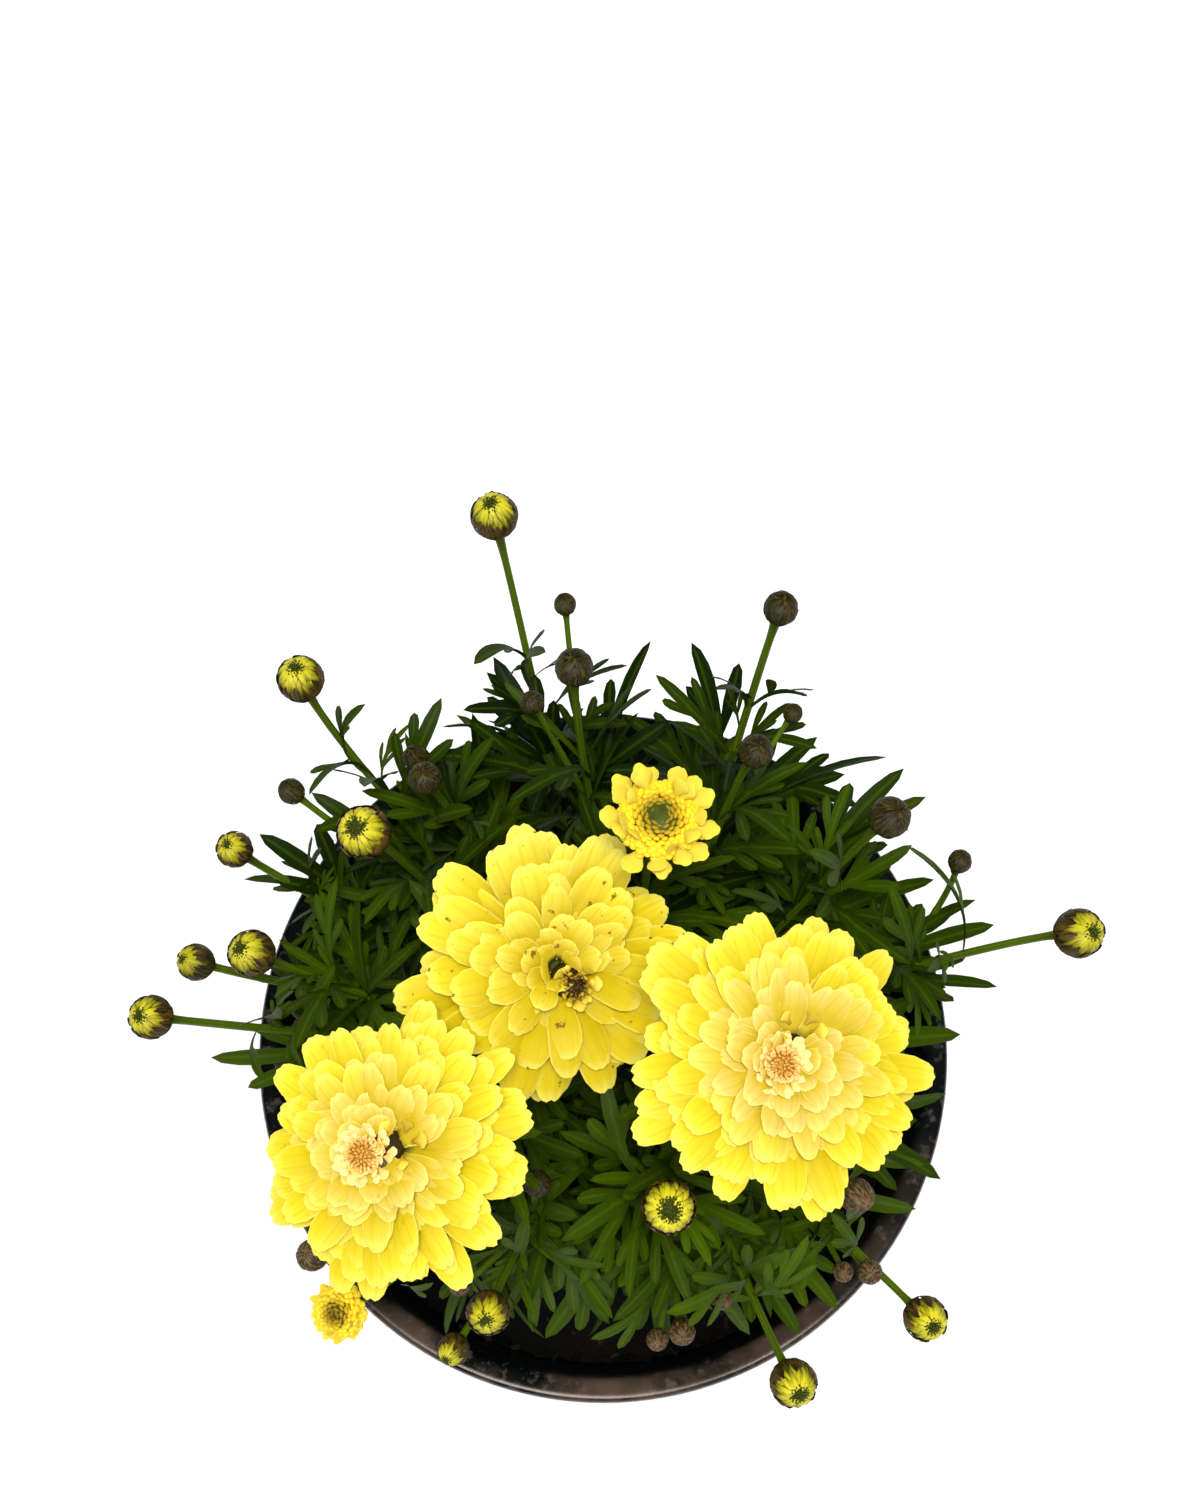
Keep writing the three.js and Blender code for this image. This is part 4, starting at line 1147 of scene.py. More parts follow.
# %% Bud finishes
# Bracts: dry at the edge, roughness about 0.55, index 1.45. The papery edge is about 0.4 mm wide.
bract_finish, tree = new_finish("bracts, overlapping, papery edges")
along, across, chance, warmth, fresh = (
    add_node(tree, "Attribute", attribute_name=name)
    for name in ("along", "across", "chance", "warmth", "fresh")
)
grain_spot = add_node(tree, "CombineXYZ", {"X": across, "Y": along, "Z": chance})
grain_spot = add_node(tree, "Mapping", {"Vector": grain_spot, "Scale": (3.5, 0.8, 40)})
streak = add_node(tree, "TexNoise", {"Vector": grain_spot, "Scale": 1, "Detail": 3})
shut = add_node(tree, "Mix RGBA", {"Factor": chance, "A": "#170D05", "B": "#42300F"})
dry = add_node(tree, "Mix RGBA", {"Factor": chance, "A": "#2C1A06", "B": "#80581C"})
tip_share = add_node(tree, "MapRange", {"Value": along, "From Min": 0.35, "From Max": 0.9})
warm_tip = add_node(tree, "Math MULTIPLY", {0: tip_share, 1: warmth})
low_down = add_node(tree, "MapRange", {"Value": along, "From Min": 0.75, "From Max": 0.2, "To Max": 0.7})
edge = add_node(tree, "Math ABSOLUTE", {0: across})
edge = add_node(tree, "MapRange", {"Value": edge, "From Min": 0.65, "From Max": 1, "To Max": 0.8})
edge = add_node(tree, "Math MULTIPLY", {0: edge, 1: tip_share})
streaky = add_node(tree, "MapRange", {"Value": streak, "From Min": 0.42, "From Max": 0.62, "To Max": 0.85})
tone = shut
for share, coat in (
    (fresh, dry), (warm_tip, "#9A7052"), (low_down, "#424A06"), (edge, "#94803C"), (streaky, "#0C0805"),
):
    tone = add_node(tree, "Mix RGBA", {"Factor": share, "A": tone, "B": coat})
dry_skin = add_node(tree, "Bump", {"Strength": 0.4, "Distance": 0.0002, "Height": streak})
end_finish(tree, add_node(tree, "BsdfPrincipled", {
    "Base Color": tone, "Roughness": 0.55, "IOR": 1.45, "Specular IOR Level": 0.2, "Normal": dry_skin,
}))

# Ray tips: soft petal tissue, roughness about 0.5. Painted shade makes them greener and darker at the base,
# where they go into the bud, and dark at their sides, between two rays.
ray_finish, tree = new_finish("bud rays, soft petal tissue")
along, across, chance, fresh = (
    add_node(tree, "Attribute", attribute_name=name) for name in ("along", "across", "chance", "fresh")
)
dull = add_node(tree, "Mix RGBA", {"Factor": chance, "A": "#6A6806", "B": "#98900C"})
bright = add_node(tree, "Mix RGBA", {"Factor": chance, "A": "#BDB210", "B": "#E6DA2C"})
# Dark olive at the base of each ray: painted shade where it goes into the bud.
painted_base_shade = add_node(tree, "MapRange", {"Value": along, "From Min": 0.6, "From Max": 0.1, "To Max": 0.8})
# Dark at the sides of each ray: painted shade between two rays.
side = add_node(tree, "Math ABSOLUTE", {0: across})
side = add_node(tree, "MapRange", {"Value": side, "From Min": 0.45, "From Max": 0.9, "To Max": 0.95})
tone = dull
for share, coat in ((fresh, bright), (painted_base_shade, "#4A4C06"), (side, "#2A2404")):
    tone = add_node(tree, "Mix RGBA", {"Factor": share, "A": tone, "B": coat})
end_finish(tree, add_node(tree, "BsdfPrincipled", {
    "Base Color": tone, "Roughness": 0.5, "IOR": 1.4, "Specular IOR Level": 0.25,
}))

# The green centre and the shaded core of a bud: moist tissue, roughness about 0.6.
core_finish, tree = new_finish("bud core and green florets, moist")
place = add_node(tree, "TexCoord").outputs["Object"]
cloud = add_node(tree, "TexNoise", {"Vector": place, "Scale": 500, "Detail": 3})
dark = add_node(tree, "Mix RGBA", {"Factor": cloud, "A": "#262B03", "B": "#56620C"})
end_finish(tree, add_node(tree, "BsdfPrincipled", {
    "Base Color": dark, "Roughness": 0.6, "IOR": 1.4, "Specular IOR Level": 0.3,
}))
print("made", bract_finish.name, ray_finish.name, core_finish.name)


# %% Bud maker
def marked(piece, **numbers):
    """Keeps the same number at every point of a piece, for its material."""
    for name, value in numbers.items():
        keep_numbers(piece.data, name, "POINT", [value] * len(piece.data.vertices))
    return piece


def core_ball(name, radius, height, finish):
    """A smooth ball, radius and height in metres, centred on the origin."""
    latitudes = [math.pi * (k / 12 - 0.5) for k in range(1, 12)]
    rings = [[radius * math.cos(t) / MM, height * math.sin(t) / MM] for t in latitudes]
    made = turned(name, [[0, -height / MM], *rings, [0, height / MM]], 20)
    made.data.materials.append(finish)
    return made


def cover(name, radius, count, bases, spans, widths, looseness, seed, shapes, finish):
    """Tongues wrapped over a ball. Each spans an angle of it from the latitude of its base."""
    lengths = [2 * radius * math.sin(span / 2) for span in spans]
    lifts = [-span / 2 for span in spans]
    return spiral(name, count, radius, radius, bases, lengths, widths, lifts, looseness, seed, shapes, finish)


def opening_parts(radius, openness, seed):
    """The bracts, the ring of rays and the green florets of a bud that opens."""
    bract_tips = math.acos(0.52 + 0.42 * openness)
    hole = 0.2 + 0.2 * openness
    ray_tips = math.acos(hole)
    bracts = cover(
        "bracts", 0.98 * radius, 44, (-1.3, bract_tips - 0.7), (0.9, 0.75), (0.45 * radius, 0.4 * radius),
        0.08 + 0.1 * openness, seed, bract_shapes, bract_finish,
    )
    rays = cover(
        "rays", 0.93 * radius, 40, (-0.15, 0.55), (ray_tips + 0.12, ray_tips - 0.5),
        ((0.34 + 0.12 * openness) * radius, 0.27 * radius), 0.08, seed + 7, ray_shapes, ray_finish,
    )
    florets = spiral(
        "florets", round(26 + 40 * openness), radius * (hole * 0.85), radius * 0.16, (0.1, 1.5),
        (radius * 0.2, radius * 0.16), (radius * 0.11, radius * 0.09), (math.pi / 2, math.pi / 2), 0.05,
        seed + 9, bead_shapes, core_finish,
    )
    return [bracts, rays, lifted(florets, radius * 0.72)]


def bud(head, seed, warmth):
    """One bud of its size and openness, stood on the neck of its stalk."""
    radius = 0.47 * head["size"] * MM
    openness = head.get("open", 0)
    parts = [core_ball("core", 0.88 * radius, 0.86 * radius, core_finish)]
    if openness:
        parts += opening_parts(radius, openness, seed)
    else:
        parts.append(cover(
            "bracts", 0.96 * radius, 64, (-1.3, 0.75), (0.95, 0.85), (0.42 * radius, 0.34 * radius), 0.07,
            seed, bract_shapes, bract_finish,
        ))
    whole = marked(joined("bud", parts), warmth=warmth, fresh=openness)
    egg = Matrix.Diagonal((0.97, 0.97, 1.07, 1))
    whole.data.transform(Matrix.Translation((0, 0, radius)) @ egg)
    return stand(whole, head)


# %% Grow the buds
# The buds low down at the front are a lighter, pinkish brown.
WARM_BELOW = 1190  # picture pixels down
buds = {}
for number, shoot in enumerate(SHOOTS):
    small = []
    for k, head in enumerate([shoot, *shoot["sides"]]):
        if "flower" in head.get("head", ""):
            continue
        warmth = 0.75 if head["at"][1] > WARM_BELOW and not head.get("open") else 0.0
        made = bud(head, 10 * number + k, warmth)
        if "head" in head:
            made.name = made.data.name = head["head"]
            buds[head["head"]] = made
        else:
            small.append(made)
    shoot["small buds"] = small
print("buds:", len(buds), "small side buds:", sum(len(shoot["small buds"]) for shoot in SHOOTS))

# %% [markdown]
# ## A double flower
# A double flower is a dome of more than a hundred petals. They stand in a spiral too: the outer
# ones are long and lie flat, the inner ones are shorter and steeper, and each covers part of
# the next. The tree aims every petal from the small dome that bears it to a tip on the flower's
# outline. A gap can be left beside the disc, where a real flower parts and shows its dark inside.

# %% Petal tree
whorls, dial = new_machine("spiral whorls of petals", {
    "Petals": (COUNT, 120), "Outer Reach": (NUMBER, 0.029), "Inner Reach": (NUMBER, 0.005),
    "Rise": (NUMBER, 0.011), "Droop": (NUMBER, 0.001), "Base Radius": (NUMBER, 0.005),
    "Outer Width": (NUMBER, 0.008), "Inner Width": (NUMBER, 0.003), "Looseness": (NUMBER, 0.1),
    "Gap Direction": (NUMBER, 0.0), "Gap Width": (NUMBER, 0.0), "Gap Start": (NUMBER, 0.6),
    "Seed": (COUNT, 1), "Shapes": (SHAPES, None), "Finish": (FINISH, None),
})
order, rank, chance, jitter = spiral_ranks(whorls, dial, dial["Petals"])
third_seed = add_node(whorls, "Math ADD", {0: dial["Seed"], 1: 90})
uneven = add_node(whorls, "RandomValue", {"Min": 0.86, "Max": 1.1, "Seed": third_seed})
outer_square = add_node(whorls, "Math POWER", {0: dial["Outer Reach"], 1: 2})
inner_square = add_node(whorls, "Math POWER", {0: dial["Inner Reach"], 1: 2})
reach = add_node(whorls, "Mix", {"Factor": rank, "A": outer_square, "B": inner_square})
reach = add_node(whorls, "Math SQRT", {0: reach})
reach = add_node(whorls, "Math MULTIPLY", {0: reach, 1: uneven})
share = add_node(whorls, "Math DIVIDE", {0: reach, 1: dial["Outer Reach"]})
share = add_node(whorls, "Math MULTIPLY", {0: share, 1: share})
sag = add_node(whorls, "Math MULTIPLY", {0: dial["Droop"], 1: -1})
tip_height = add_node(whorls, "Mix", {"Factor": share, "A": dial["Rise"], "B": sag})
inwards = add_node(whorls, "MapRange", {"Value": rank, "To Min": 1, "To Max": 0.25})
base_radius = add_node(whorls, "Math MULTIPLY", {0: dial["Base Radius"], 1: inwards})
climbed = add_node(whorls, "Math MULTIPLY", {0: dial["Rise"], 1: 0.75})
base_height = add_node(whorls, "Math MULTIPLY", {0: climbed, 1: rank})
print("petal reach ready")

# %% Petal tree turns
# A petal's length and pitch follow from its base and its tip, and its yaw from the golden angle.
run = add_node(whorls, "Math SUBTRACT", {0: reach, 1: base_radius})
climb = add_node(whorls, "Math SUBTRACT", {0: tip_height, 1: base_height})
run_square = add_node(whorls, "Math MULTIPLY", {0: run, 1: run})
length = add_node(whorls, "Math MULTIPLY_ADD", {0: climb, 1: climb, 2: run_square})
length = add_node(whorls, "Math SQRT", {0: length})
pitch = add_node(whorls, "Math ARCTAN2", {0: climb, 1: run})
pitch = add_node(whorls, "Math SUBTRACT", {0: jitter["Y"], 1: pitch})
yaw = add_node(whorls, "Math MULTIPLY_ADD", {0: order, 1: GOLDEN_ANGLE, 2: jitter["Z"]})
roll = add_node(whorls, "Math MULTIPLY", {0: jitter["X"], 1: 1.6})
turn = add_node(whorls, "CombineXYZ", {"X": roll, "Y": pitch, "Z": yaw})
base_point = add_node(whorls, "CombineXYZ", {"X": base_radius, "Z": base_height})
spot = add_node(whorls, "VectorRotate", {"Vector": base_point, "Angle": yaw}, rotation_type="Z_AXIS")
width = add_node(whorls, "Mix", {"Factor": rank, "A": dial["Outer Width"], "B": dial["Inner Width"]})
sizes = add_node(whorls, "CombineXYZ", {"X": length, "Y": width, "Z": length})
print("petal turns ready")

# %% Petal tree shapes and gap
# Inner petals take later shapes. No petal grows where it is inside the gap and near enough its start.
kinds = len(petal_shapes.objects)
kind = add_node(whorls, "Math MULTIPLY_ADD", {0: rank, 1: kinds - 1, 2: chance})
kind = add_node(whorls, "Math FLOOR", {0: kind})
from_gap = add_node(whorls, "Math SUBTRACT", {0: yaw, 1: dial["Gap Direction"]})
from_gap = add_node(whorls, "Math WRAP", {0: from_gap, 1: math.pi, 2: -math.pi})
from_gap = add_node(whorls, "Math ABSOLUTE", {0: from_gap})
beside = add_node(whorls, "Math GREATER_THAN", {0: from_gap, 1: dial["Gap Width"]})
outside = add_node(whorls, "Math LESS_THAN", {0: rank, 1: dial["Gap Start"]})
grows = add_node(whorls, "Math MAXIMUM", {0: beside, 1: outside})
row = spiral_points(whorls, dial["Petals"], spot, rank, chance)
place_shapes(whorls, dial, row, kind, turn, sizes, grows)
print("petal tree ready")

# %% [markdown]
# Petal tissue is thin and matt. Light goes into it and comes out on the other side, so a petal
# glows where others lie behind it. A fifth of its shader is therefore Translucent. Its colour
# runs from lemon outside to peach inside. Painted shade deepens it in its grooves, towards its
# base where the next petal covers it, and most at its foot, and a painted highlight makes its rim
# and tip paler.

# %% Petal finish
# Petals: soft cells, roughness about 0.55, index 1.4. Their veins are about 0.4 mm apart, and drawn
# about 1.1 mm apart, because finer ones wouldn't show.
def petal_tissue(name, outer, inner, deep, rim):
    """A petal material: outer and inner petals, a deep colour for painted shade and veins, and a paler colour
    for painted light and highlights and for the under side.
    """
    finish, tree = new_finish(name)
    place = add_node(tree, "TexCoord").outputs["Object"]
    along, across, under, rank, chance, age, gold, pale, peach = (
        add_node(tree, "Attribute", attribute_name=number)
        for number in ("along", "across", "under", "rank", "chance", "age", "gold", "pale", "peach")
    )
    inside = add_node(tree, "MapRange", {"Value": rank, "From Min": 0.42, "From Max": 0.82})
    inside = add_node(tree, "Math MULTIPLY", {0: inside, 1: peach})
    odd = add_node(tree, "MapRange", {"Value": chance, "To Max": 0.25})
    # The lower half of the flower also takes the deep colour: painted shade.
    odd = add_node(tree, "Math ADD", {0: odd, 1: gold}, use_clamp=True)
    # Deeper towards the base of the part that shows: painted shade where the next petal covers it.
    low_down = add_node(tree, "MapRange", {
        "Value": along, "From Min": 0.93, "From Max": 0.58, "To Max": 0.85,
    })
    side = add_node(tree, "Math ABSOLUTE", {0: across})
    # The two grooves take the deep colour: painted shade.
    groove = add_node(tree, "Math SUBTRACT", {0: side, 1: 0.36})
    groove = add_node(tree, "Math ABSOLUTE", {0: groove})
    groove = add_node(tree, "MapRange", {"Value": groove, "From Min": 0.12, "From Max": 0, "To Max": 0.35})
    vein = add_node(tree, "Math MULTIPLY", {0: across, 1: 21})
    vein = add_node(tree, "Math SINE", {0: vein})
    vein = add_node(tree, "MapRange", {"Value": vein, "From Min": -1, "To Max": 0.14})
    # Paler at the rim and tip: a painted highlight.
    at_rim = add_node(tree, "Math MAXIMUM", {0: side, 1: along})
    at_rim = add_node(tree, "MapRange", {"Value": at_rim, "From Min": 0.88, "From Max": 1, "To Max": 0.55})
    # Dark olive at the foot of each petal: painted shade, so that the gap beside the disc looks dark.
    foot = add_node(tree, "MapRange", {"Value": along, "From Min": 0.3, "From Max": 0.1})
    speck = add_node(tree, "TexNoise", {"Vector": place, "Scale": 480, "Detail": 2})
    speck = add_node(tree, "MapRange", {"Value": speck, "From Min": 0.68, "From Max": 0.74})
    speck = add_node(tree, "Math MULTIPLY", {0: speck, 1: age})
    below = add_node(tree, "Math MULTIPLY", {0: under, 1: 0.8})
    tone = outer
    for share, coat in (
        (inside, inner), (odd, deep), (pale, rim), (low_down, deep), (groove, deep), (vein, deep),
        (at_rim, rim), (foot, "#3A3004"), (speck, "#8A6A10"), (below, rim),
    ):
        tone = add_node(tree, "Mix RGBA", {"Factor": share, "A": tone, "B": coat})
    surface = add_node(tree, "NewGeometry").outputs
    steady = add_node(tree, "MapRange", {"Value": at_rim, "To Min": 0.2, "From Max": 0.6, "To Max": 1})
    level = add_node(tree, "Mix VECTOR", {
        "Factor": steady, "A": surface["Normal"], "B": surface["True Normal"],
    })
    cells = add_node(tree, "Bump", {
        "Strength": 0.3, "Distance": 0.0002, "Height": vein, "Normal": level,
    })
    front = add_node(tree, "BsdfPrincipled", {
        "Base Color": tone, "Roughness": 0.55, "IOR": 1.4, "Specular IOR Level": 0.2, "Normal": cells,
    })
    through = add_node(tree, "BsdfTranslucent", {"Color": tone, "Normal": cells})
    end_finish(tree, add_node(tree, "MixShader", {0: 0.22, 1: front, 2: through}))
    return finish


yellow_petals = petal_tissue("double marguerite petals, lemon", "#FFEC34", "#FFDC80", "#D2B800", "#FCF47C")
golden_petals = petal_tissue("young marguerite petals, golden", "#FAE220", "#F8D41C", "#DCAC06", "#F2E650")
print("made", yellow_petals.name, "and", golden_petals.name)

# Disc florets: beads about 0.7 mm across, golden brown in the middle and paler outside.
def floret_tissue(name, outer, inner, deep, change=0.35):
    """A floret material: outer florets, inner ones from the rank of the change, and a deep colour for odd
    florets and, as painted shade, for the foot of each one.
    """
    finish, tree = new_finish(name)
    along, rank, chance = (
        add_node(tree, "Attribute", attribute_name=name) for name in ("along", "rank", "chance")
    )
    inside = add_node(tree, "MapRange", {
        "Value": rank, "From Min": change, "From Max": change + 0.4,
    })
    odd = add_node(tree, "MapRange", {"Value": chance, "To Max": 0.4})
    # Deeper towards the foot of each floret: painted shade between the crowded florets.
    low_down = add_node(tree, "MapRange", {"Value": along, "From Min": 0.75, "From Max": 0.2})
    tone = outer
    for share, coat in ((inside, inner), (odd, deep), (low_down, deep)):
        tone = add_node(tree, "Mix RGBA", {"Factor": share, "A": tone, "B": coat})
    end_finish(tree, add_node(tree, "BsdfPrincipled", {
        "Base Color": tone, "Roughness": 0.5, "IOR": 1.4, "Specular IOR Level": 0.3,
    }))
    return finish


pale_florets = floret_tissue("disc florets, golden brown", "#FAD888", "#E2AC4C", "#CC943C")
cream_florets = floret_tissue("opening florets, cream", "#FFE696", "#FFDE90", "#F2C868")
golden_florets = floret_tissue("young disc florets, golden", "#FFE22C", "#3E3E06", "#D09C0A", 0.6)
yellow_florets = floret_tissue("opening florets, yellow", "#F2DE4A", "#DCC230", "#B08A14")
withered_florets = floret_tissue("withered florets, brown", "#B08A20", "#5E420C", "#33250A", 0.3)
print("made", pale_florets.name, cream_florets.name, golden_florets.name, withered_florets.name)


# %% Cup of bracts
def bract_cup(head, radius, height, seed):
    """The cup of bracts that holds a flower, its rim level with the foot of the petals."""
    inside = core_ball("cup core", 0.86 * radius, 0.9 * height, core_finish)
    bracts = spiral(
        "cup bracts", 42, 0.92 * radius, 0.95 * height, (-1.3, -0.35), (0.5 * height, 0.75 * height),
        (0.42 * radius, 0.5 * radius), (-0.15, -0.1), 0.06, seed, bract_shapes, bract_finish,
    )
    cup = marked(joined("cup", [inside, bracts]), warmth=0.15)
    return stand(lifted(cup, height), head)


print("cup maker ready")

# %% [markdown]
# The three open flowers differ in a few numbers: how much painted shade deepens the lower half,
# how much painted light makes the uppermost petals paler, and how much the inner petals turn to
# peach. The disc stands `aside` of the middle by that many millimetres, and a `withered` disc is
# small and brown.

# %% Double flower makers
FLOWERS = {
    "flower_right": dict(
        Petals=215, Outer_Width=7.6 * MM, Looseness=0.14, Gap_Direction=1.25, Gap_Width=0.8, Gap_Start=0.84,
        Seed=3, age=0.0, gold=0.0, pale=0.15, peach=1.0, aside=(-2.4, -1.6), withered=False,
    ),
    "flower_left": dict(
        Petals=180, Outer_Width=7.2 * MM, Looseness=0.17, Gap_Direction=0.25, Gap_Width=0.8, Gap_Start=0.8,
        Seed=5, age=0.25, gold=0.05, pale=0.2, peach=0.85, aside=(-2.2, -0.8), withered=False,
    ),
    "flower_centre": dict(
        Petals=128, Outer_Width=9.2 * MM, Looseness=0.23, Gap_Direction=-0.75, Gap_Width=0.7, Gap_Start=0.74,
        Seed=8, age=1.0, gold=0.55, pale=0.45, peach=0.3, aside=(3.4, -3.2), withered=True,
    ),
}


def petal_pile(radius, age, gold, pale, peach, withered, **dials):
    """The petals of a double flower, with five small ones in the gap beside its disc."""
    petals = grown(
        "petals", whorls, Outer_Reach=radius, Inner_Reach=(3.5 if withered else 5) * MM, Rise=10 * MM,
        Droop=0.8 * MM, Base_Radius=5.5 * MM, Inner_Width=5.2 * MM, Shapes=petal_shapes,
        Finish=yellow_petals, **dials,
    )
    pocket = spiral(
        "pocket", 5, 2.2 * MM, 1.0 * MM, (0.0, 0.3), (3.6 * MM, 3.0 * MM), (3.0 * MM, 2.4 * MM), (1.0, 1.2),
        0.2, dials["Seed"] + 3, spoon_shapes, yellow_florets,
    )
    gap = Vector((math.cos(dials["Gap_Direction"]), math.sin(dials["Gap_Direction"]), 0)) * 4.6 * MM
    pocket.data.transform(Matrix.Translation(gap + UP * 8 * MM))
    petals = marked(joined("petals", [petals, pocket]), age=age, peach=peach)
    heights = [vertex.co.y / radius for vertex in petals.data.vertices]
    # Painted shade deepens the lower half of the flower, and painted light makes its upper petals paler.
    keep_numbers(petals.data, "gold", "POINT", [gold * min(1, max(0, 0.3 - y)) for y in heights])
    keep_numbers(petals.data, "pale", "POINT", [pale * min(1, max(0, 1.6 * (y - 0.35))) for y in heights])
    return lifted(petals, 7.3 * MM)


def flower_disc(aside, age, withered, seed):
    """A dark ball for the painted shade in the gap, a crown of opening florets and a bed of beads, aside of
    the flower's middle.
    """
    outer, inner = (yellow_florets, withered_florets) if withered else (cream_florets, pale_florets)
    # A dark ball under the disc that shows in the gap beside it: painted shade.
    heart = core_ball("heart", 4.8 * MM, 2.4 * MM, withered_florets)
    shift = 0.4 if withered else 1
    heart.data.transform(Matrix.Translation(Vector((-aside[0] * shift, -aside[1] * shift, -1.9)) * MM))
    crown = spiral(
        "crown", 20 if withered else 54, 3.2 * MM, 1.6 * MM, (0.0, 0.95), (3.4 * MM, 1.6 * MM),
        (2.2 * MM, 1.2 * MM), (1.2, 1.5), 0.22, seed, spoon_shapes, outer,
    )
    beads = spiral(
        "beads", 90, 2.4 * MM, 1.0 * MM, (0.0, 1.5), (1.4 * MM, 1.1 * MM), (0.75 * MM, 0.5 * MM),
        (1.5, 1.57), 0.4 if withered else 0.1, seed + 1, bead_shapes, inner,
    )
    bed = core_ball("bed", 3.2 * MM, 2.2 * MM, inner)
    disc = marked(joined("disc", [bed, heart, crown, lifted(beads, 1.3 * MM)]), age=age, gold=0.0)
    if withered:
        disc.data.transform(Matrix.Diagonal((0.75, 0.75, 0.8, 1)))
    disc.data.transform(Matrix.Translation((aside[0] * MM, aside[1] * MM, 15.4 * MM)))
    return disc


def double_flower(head, aside, age, withered, **look):
    """The petals and the disc of an open double flower, on its stalk."""
    petals = petal_pile(0.5 * head["size"] * MM, age=age, withered=withered, **look)
    return stand(petals, head), stand(flower_disc(aside, age, withered, look["Seed"]), head)


# %% Grow the double flowers
flower_pieces = {}
for head in HEADS:
    name = head.get("head")
    if name not in FLOWERS:
        continue
    petals, disc = double_flower(head, **FLOWERS[name])
    cup = bract_cup(head, 7 * MM, 7 * MM, FLOWERS[name]["Seed"])
    flower_pieces.update({f"{name}_petals": petals, f"{name}_disc": disc, f"{name}_bract_cup": cup})
print("flower faces:", {name: len(piece.data.polygons) for name, piece in flower_pieces.items()})

# %% [markdown]
# ## The young flowers
# A flower that has just opened is golden. Its florets are still beads, packed in spirals from a
# dark olive centre, and its rays are short spoons that stand out round them.

# %% Grow the young flowers
YOUNG = {
    "young_flower_back": dict(rays=26, ray_length=6.8, ray_width=4.4, dome=7.4, rise=3.2, beads=230, seed=21,
                              shapes=spoon_shapes),
    "young_flower_front": dict(rays=30, ray_length=4.0, ray_width=2.1, dome=5.2, rise=3.0, beads=120, seed=22,
                               shapes=ray_shapes),
}


def young_flower(head, rays, ray_length, ray_width, dome, rise, beads, seed, shapes):
    """The ray petals and the dome of beads of a young flower."""
    spoons = marked(spiral(
        "rays", rays, (dome - 2.2) * MM, rise * MM, (0.0, 0.45), (ray_length * MM, 0.8 * ray_length * MM),
        (ray_width * MM, 0.8 * ray_width * MM), (1.45, 1.0), 0.22, seed, shapes, golden_petals,
    ), age=0.0, gold=0.0, peach=1.0)
    florets = spiral(
        "florets", beads, (dome - 1.4) * MM, rise * MM, (0.1, 1.5), (2.5 * MM, 0.9 * MM),
        (2.1 * MM, 1.5 * MM), (1.75, 1.6), 0.05, seed, bead_shapes, golden_florets,
    )
    bed = core_ball("bed", (dome - 1.2) * MM, 0.96 * rise * MM, core_finish)
    above_cup = 0.28 * head["size"] * MM + 1.2 * MM
    return [stand(lifted(piece, above_cup), head) for piece in (spoons, joined("dome", [bed, florets]))]


for head in HEADS:
    name = head.get("head")
    if name not in YOUNG:
        continue
    rays, dome = young_flower(head, **YOUNG[name])
    cup = bract_cup(head, 0.3 * head["size"] * MM, 0.28 * head["size"] * MM, YOUNG[name]["seed"])
    flower_pieces[f"{name}_bract_cup"] = cup
    if name == "young_flower_front":
        flower_pieces[f"{name}_petals"] = joined("petals", [rays, dome])
    else:
        flower_pieces.update({f"{name}_petals": rays, f"{name}_disc": dome})
print("flower pieces:", len(flower_pieces))

# %% [markdown]
# ## Names and bodies
# Every piece stands for a node of the frame and rides on the plant's one body. A shoot is one
# piece: its stem, its leaves and its small side buds grew together.

# %% Hand the pieces over
def hand_over(piece, name, node):
    """Names a piece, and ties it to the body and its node."""
    piece.name = piece.data.name = name
    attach(piece, "root")
    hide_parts(node)


hand_over(pot, "pot_shell", "pot")
hand_over(potting_mix, "mix_bed", "potting_mix")
hand_over(woody_base, "woody_base_bark", "woody_base")
for number, shoot in enumerate(SHOOTS):
    whole = joined("shoot", [stems[number], foliages[number], *shoot["small buds"]])
    hand_over(whole, f"shoot_{number + 1:02d}_grown", f"shoot_{number + 1:02d}")
for name, piece in buds.items():
    hand_over(piece, f"{name}_grown", name)
for name, piece in flower_pieces.items():
    if name.endswith("cup"):
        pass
    elif name.endswith("petals"):
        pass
    else:
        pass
    hand_over(piece, f"{name}_grown", name)
print("pieces handed over:", 3 + len(SHOOTS) + len(buds) + len(flower_pieces))

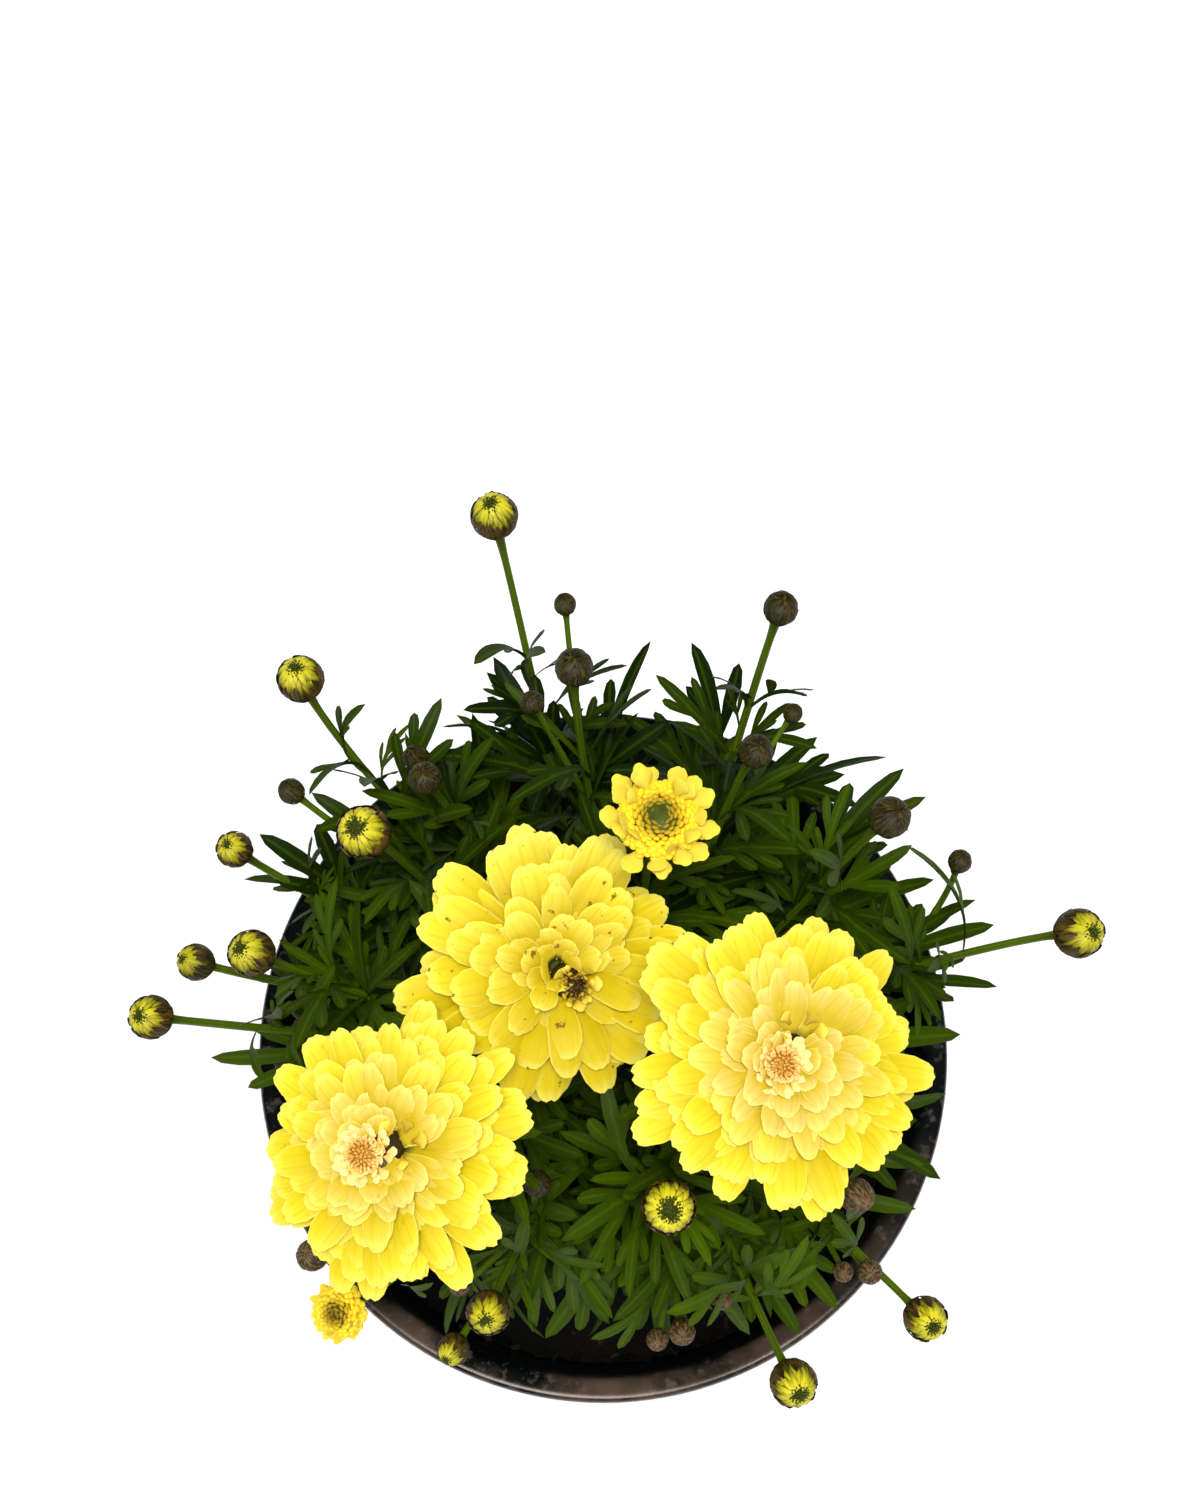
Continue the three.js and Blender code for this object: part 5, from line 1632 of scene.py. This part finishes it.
# %% [markdown]
# ## Floor, light and view
# The photograph has a plain white ground and soft light from all sides, with the shadows almost
# lost. A large white floor, a bright sky and one soft panel straight above give that. Two more
# cards in front are seen in glossy surfaces only, and draw the highlight on the pot's lip. The
# Standard view keeps the strong yellows, which a filmic view would fade.

# %% Floor and light
floor = mesh_object("floor", [(-4, -4, 0), (4, -4, 0), (4, 4, 0), (-4, 4, 0)], [[0, 1, 2, 3]])
floor_finish, tree = new_finish("white studio paper")
place = add_node(tree, "TexCoord").outputs["Object"]
fibre = add_node(tree, "TexNoise", {"Vector": place, "Scale": 300, "Detail": 3})
white = add_node(tree, "Mix RGBA", {"Factor": fibre, "A": "#FDFDFD", "B": "#FFFFFF"})
end_finish(tree, add_node(tree, "BsdfPrincipled", {
    "Base Color": white, "Roughness": 0.9, "IOR": 1.45, "Specular IOR Level": 0.1,
}))
floor.data.materials.append(floor_finish)

sky = bpy.data.worlds.new("soft sky")
sky.use_nodes = True
sky.node_tree.nodes["Background"].inputs["Color"].default_value = linear("#FFFFFF")
sky.node_tree.nodes["Background"].inputs["Strength"].default_value = 0.62
bpy.context.scene.world = sky
sky.cycles_visibility.glossy = False

POT_LIP = Vector((0, -0.08, 0.13))


def soft_panel(name, at, size, watts):
    """A rectangular lamp that looks at the front of the pot's lip."""
    data = bpy.data.lights.new(name, "AREA")
    data.shape = "RECTANGLE"
    data.size, data.size_y = size
    data.energy = watts
    made = in_scene(name, data)
    made.location = at
    made.rotation_euler = (POT_LIP - made.location).to_track_quat("-Z", "Y").to_euler()
    return made


overhead = soft_panel("soft panel", (0, -0.12, 1.75), (0.56, 0.34), 24)
overhead.visible_glossy = False
gloss_card = soft_panel("gloss card", (-0.16, -0.76, 1.1), (0.7, 0.5), 22)
dash_card = soft_panel("dash card", (0.44, -0.61, 1.11), (0.12, 0.3), 5)
for card in (gloss_card, dash_card):
    card.visible_diffuse = False
    card.visible_transmission = False
bpy.context.scene.view_settings.view_transform = "Standard"
print("lamps:", overhead.name, gloss_card.name, dash_card.name)
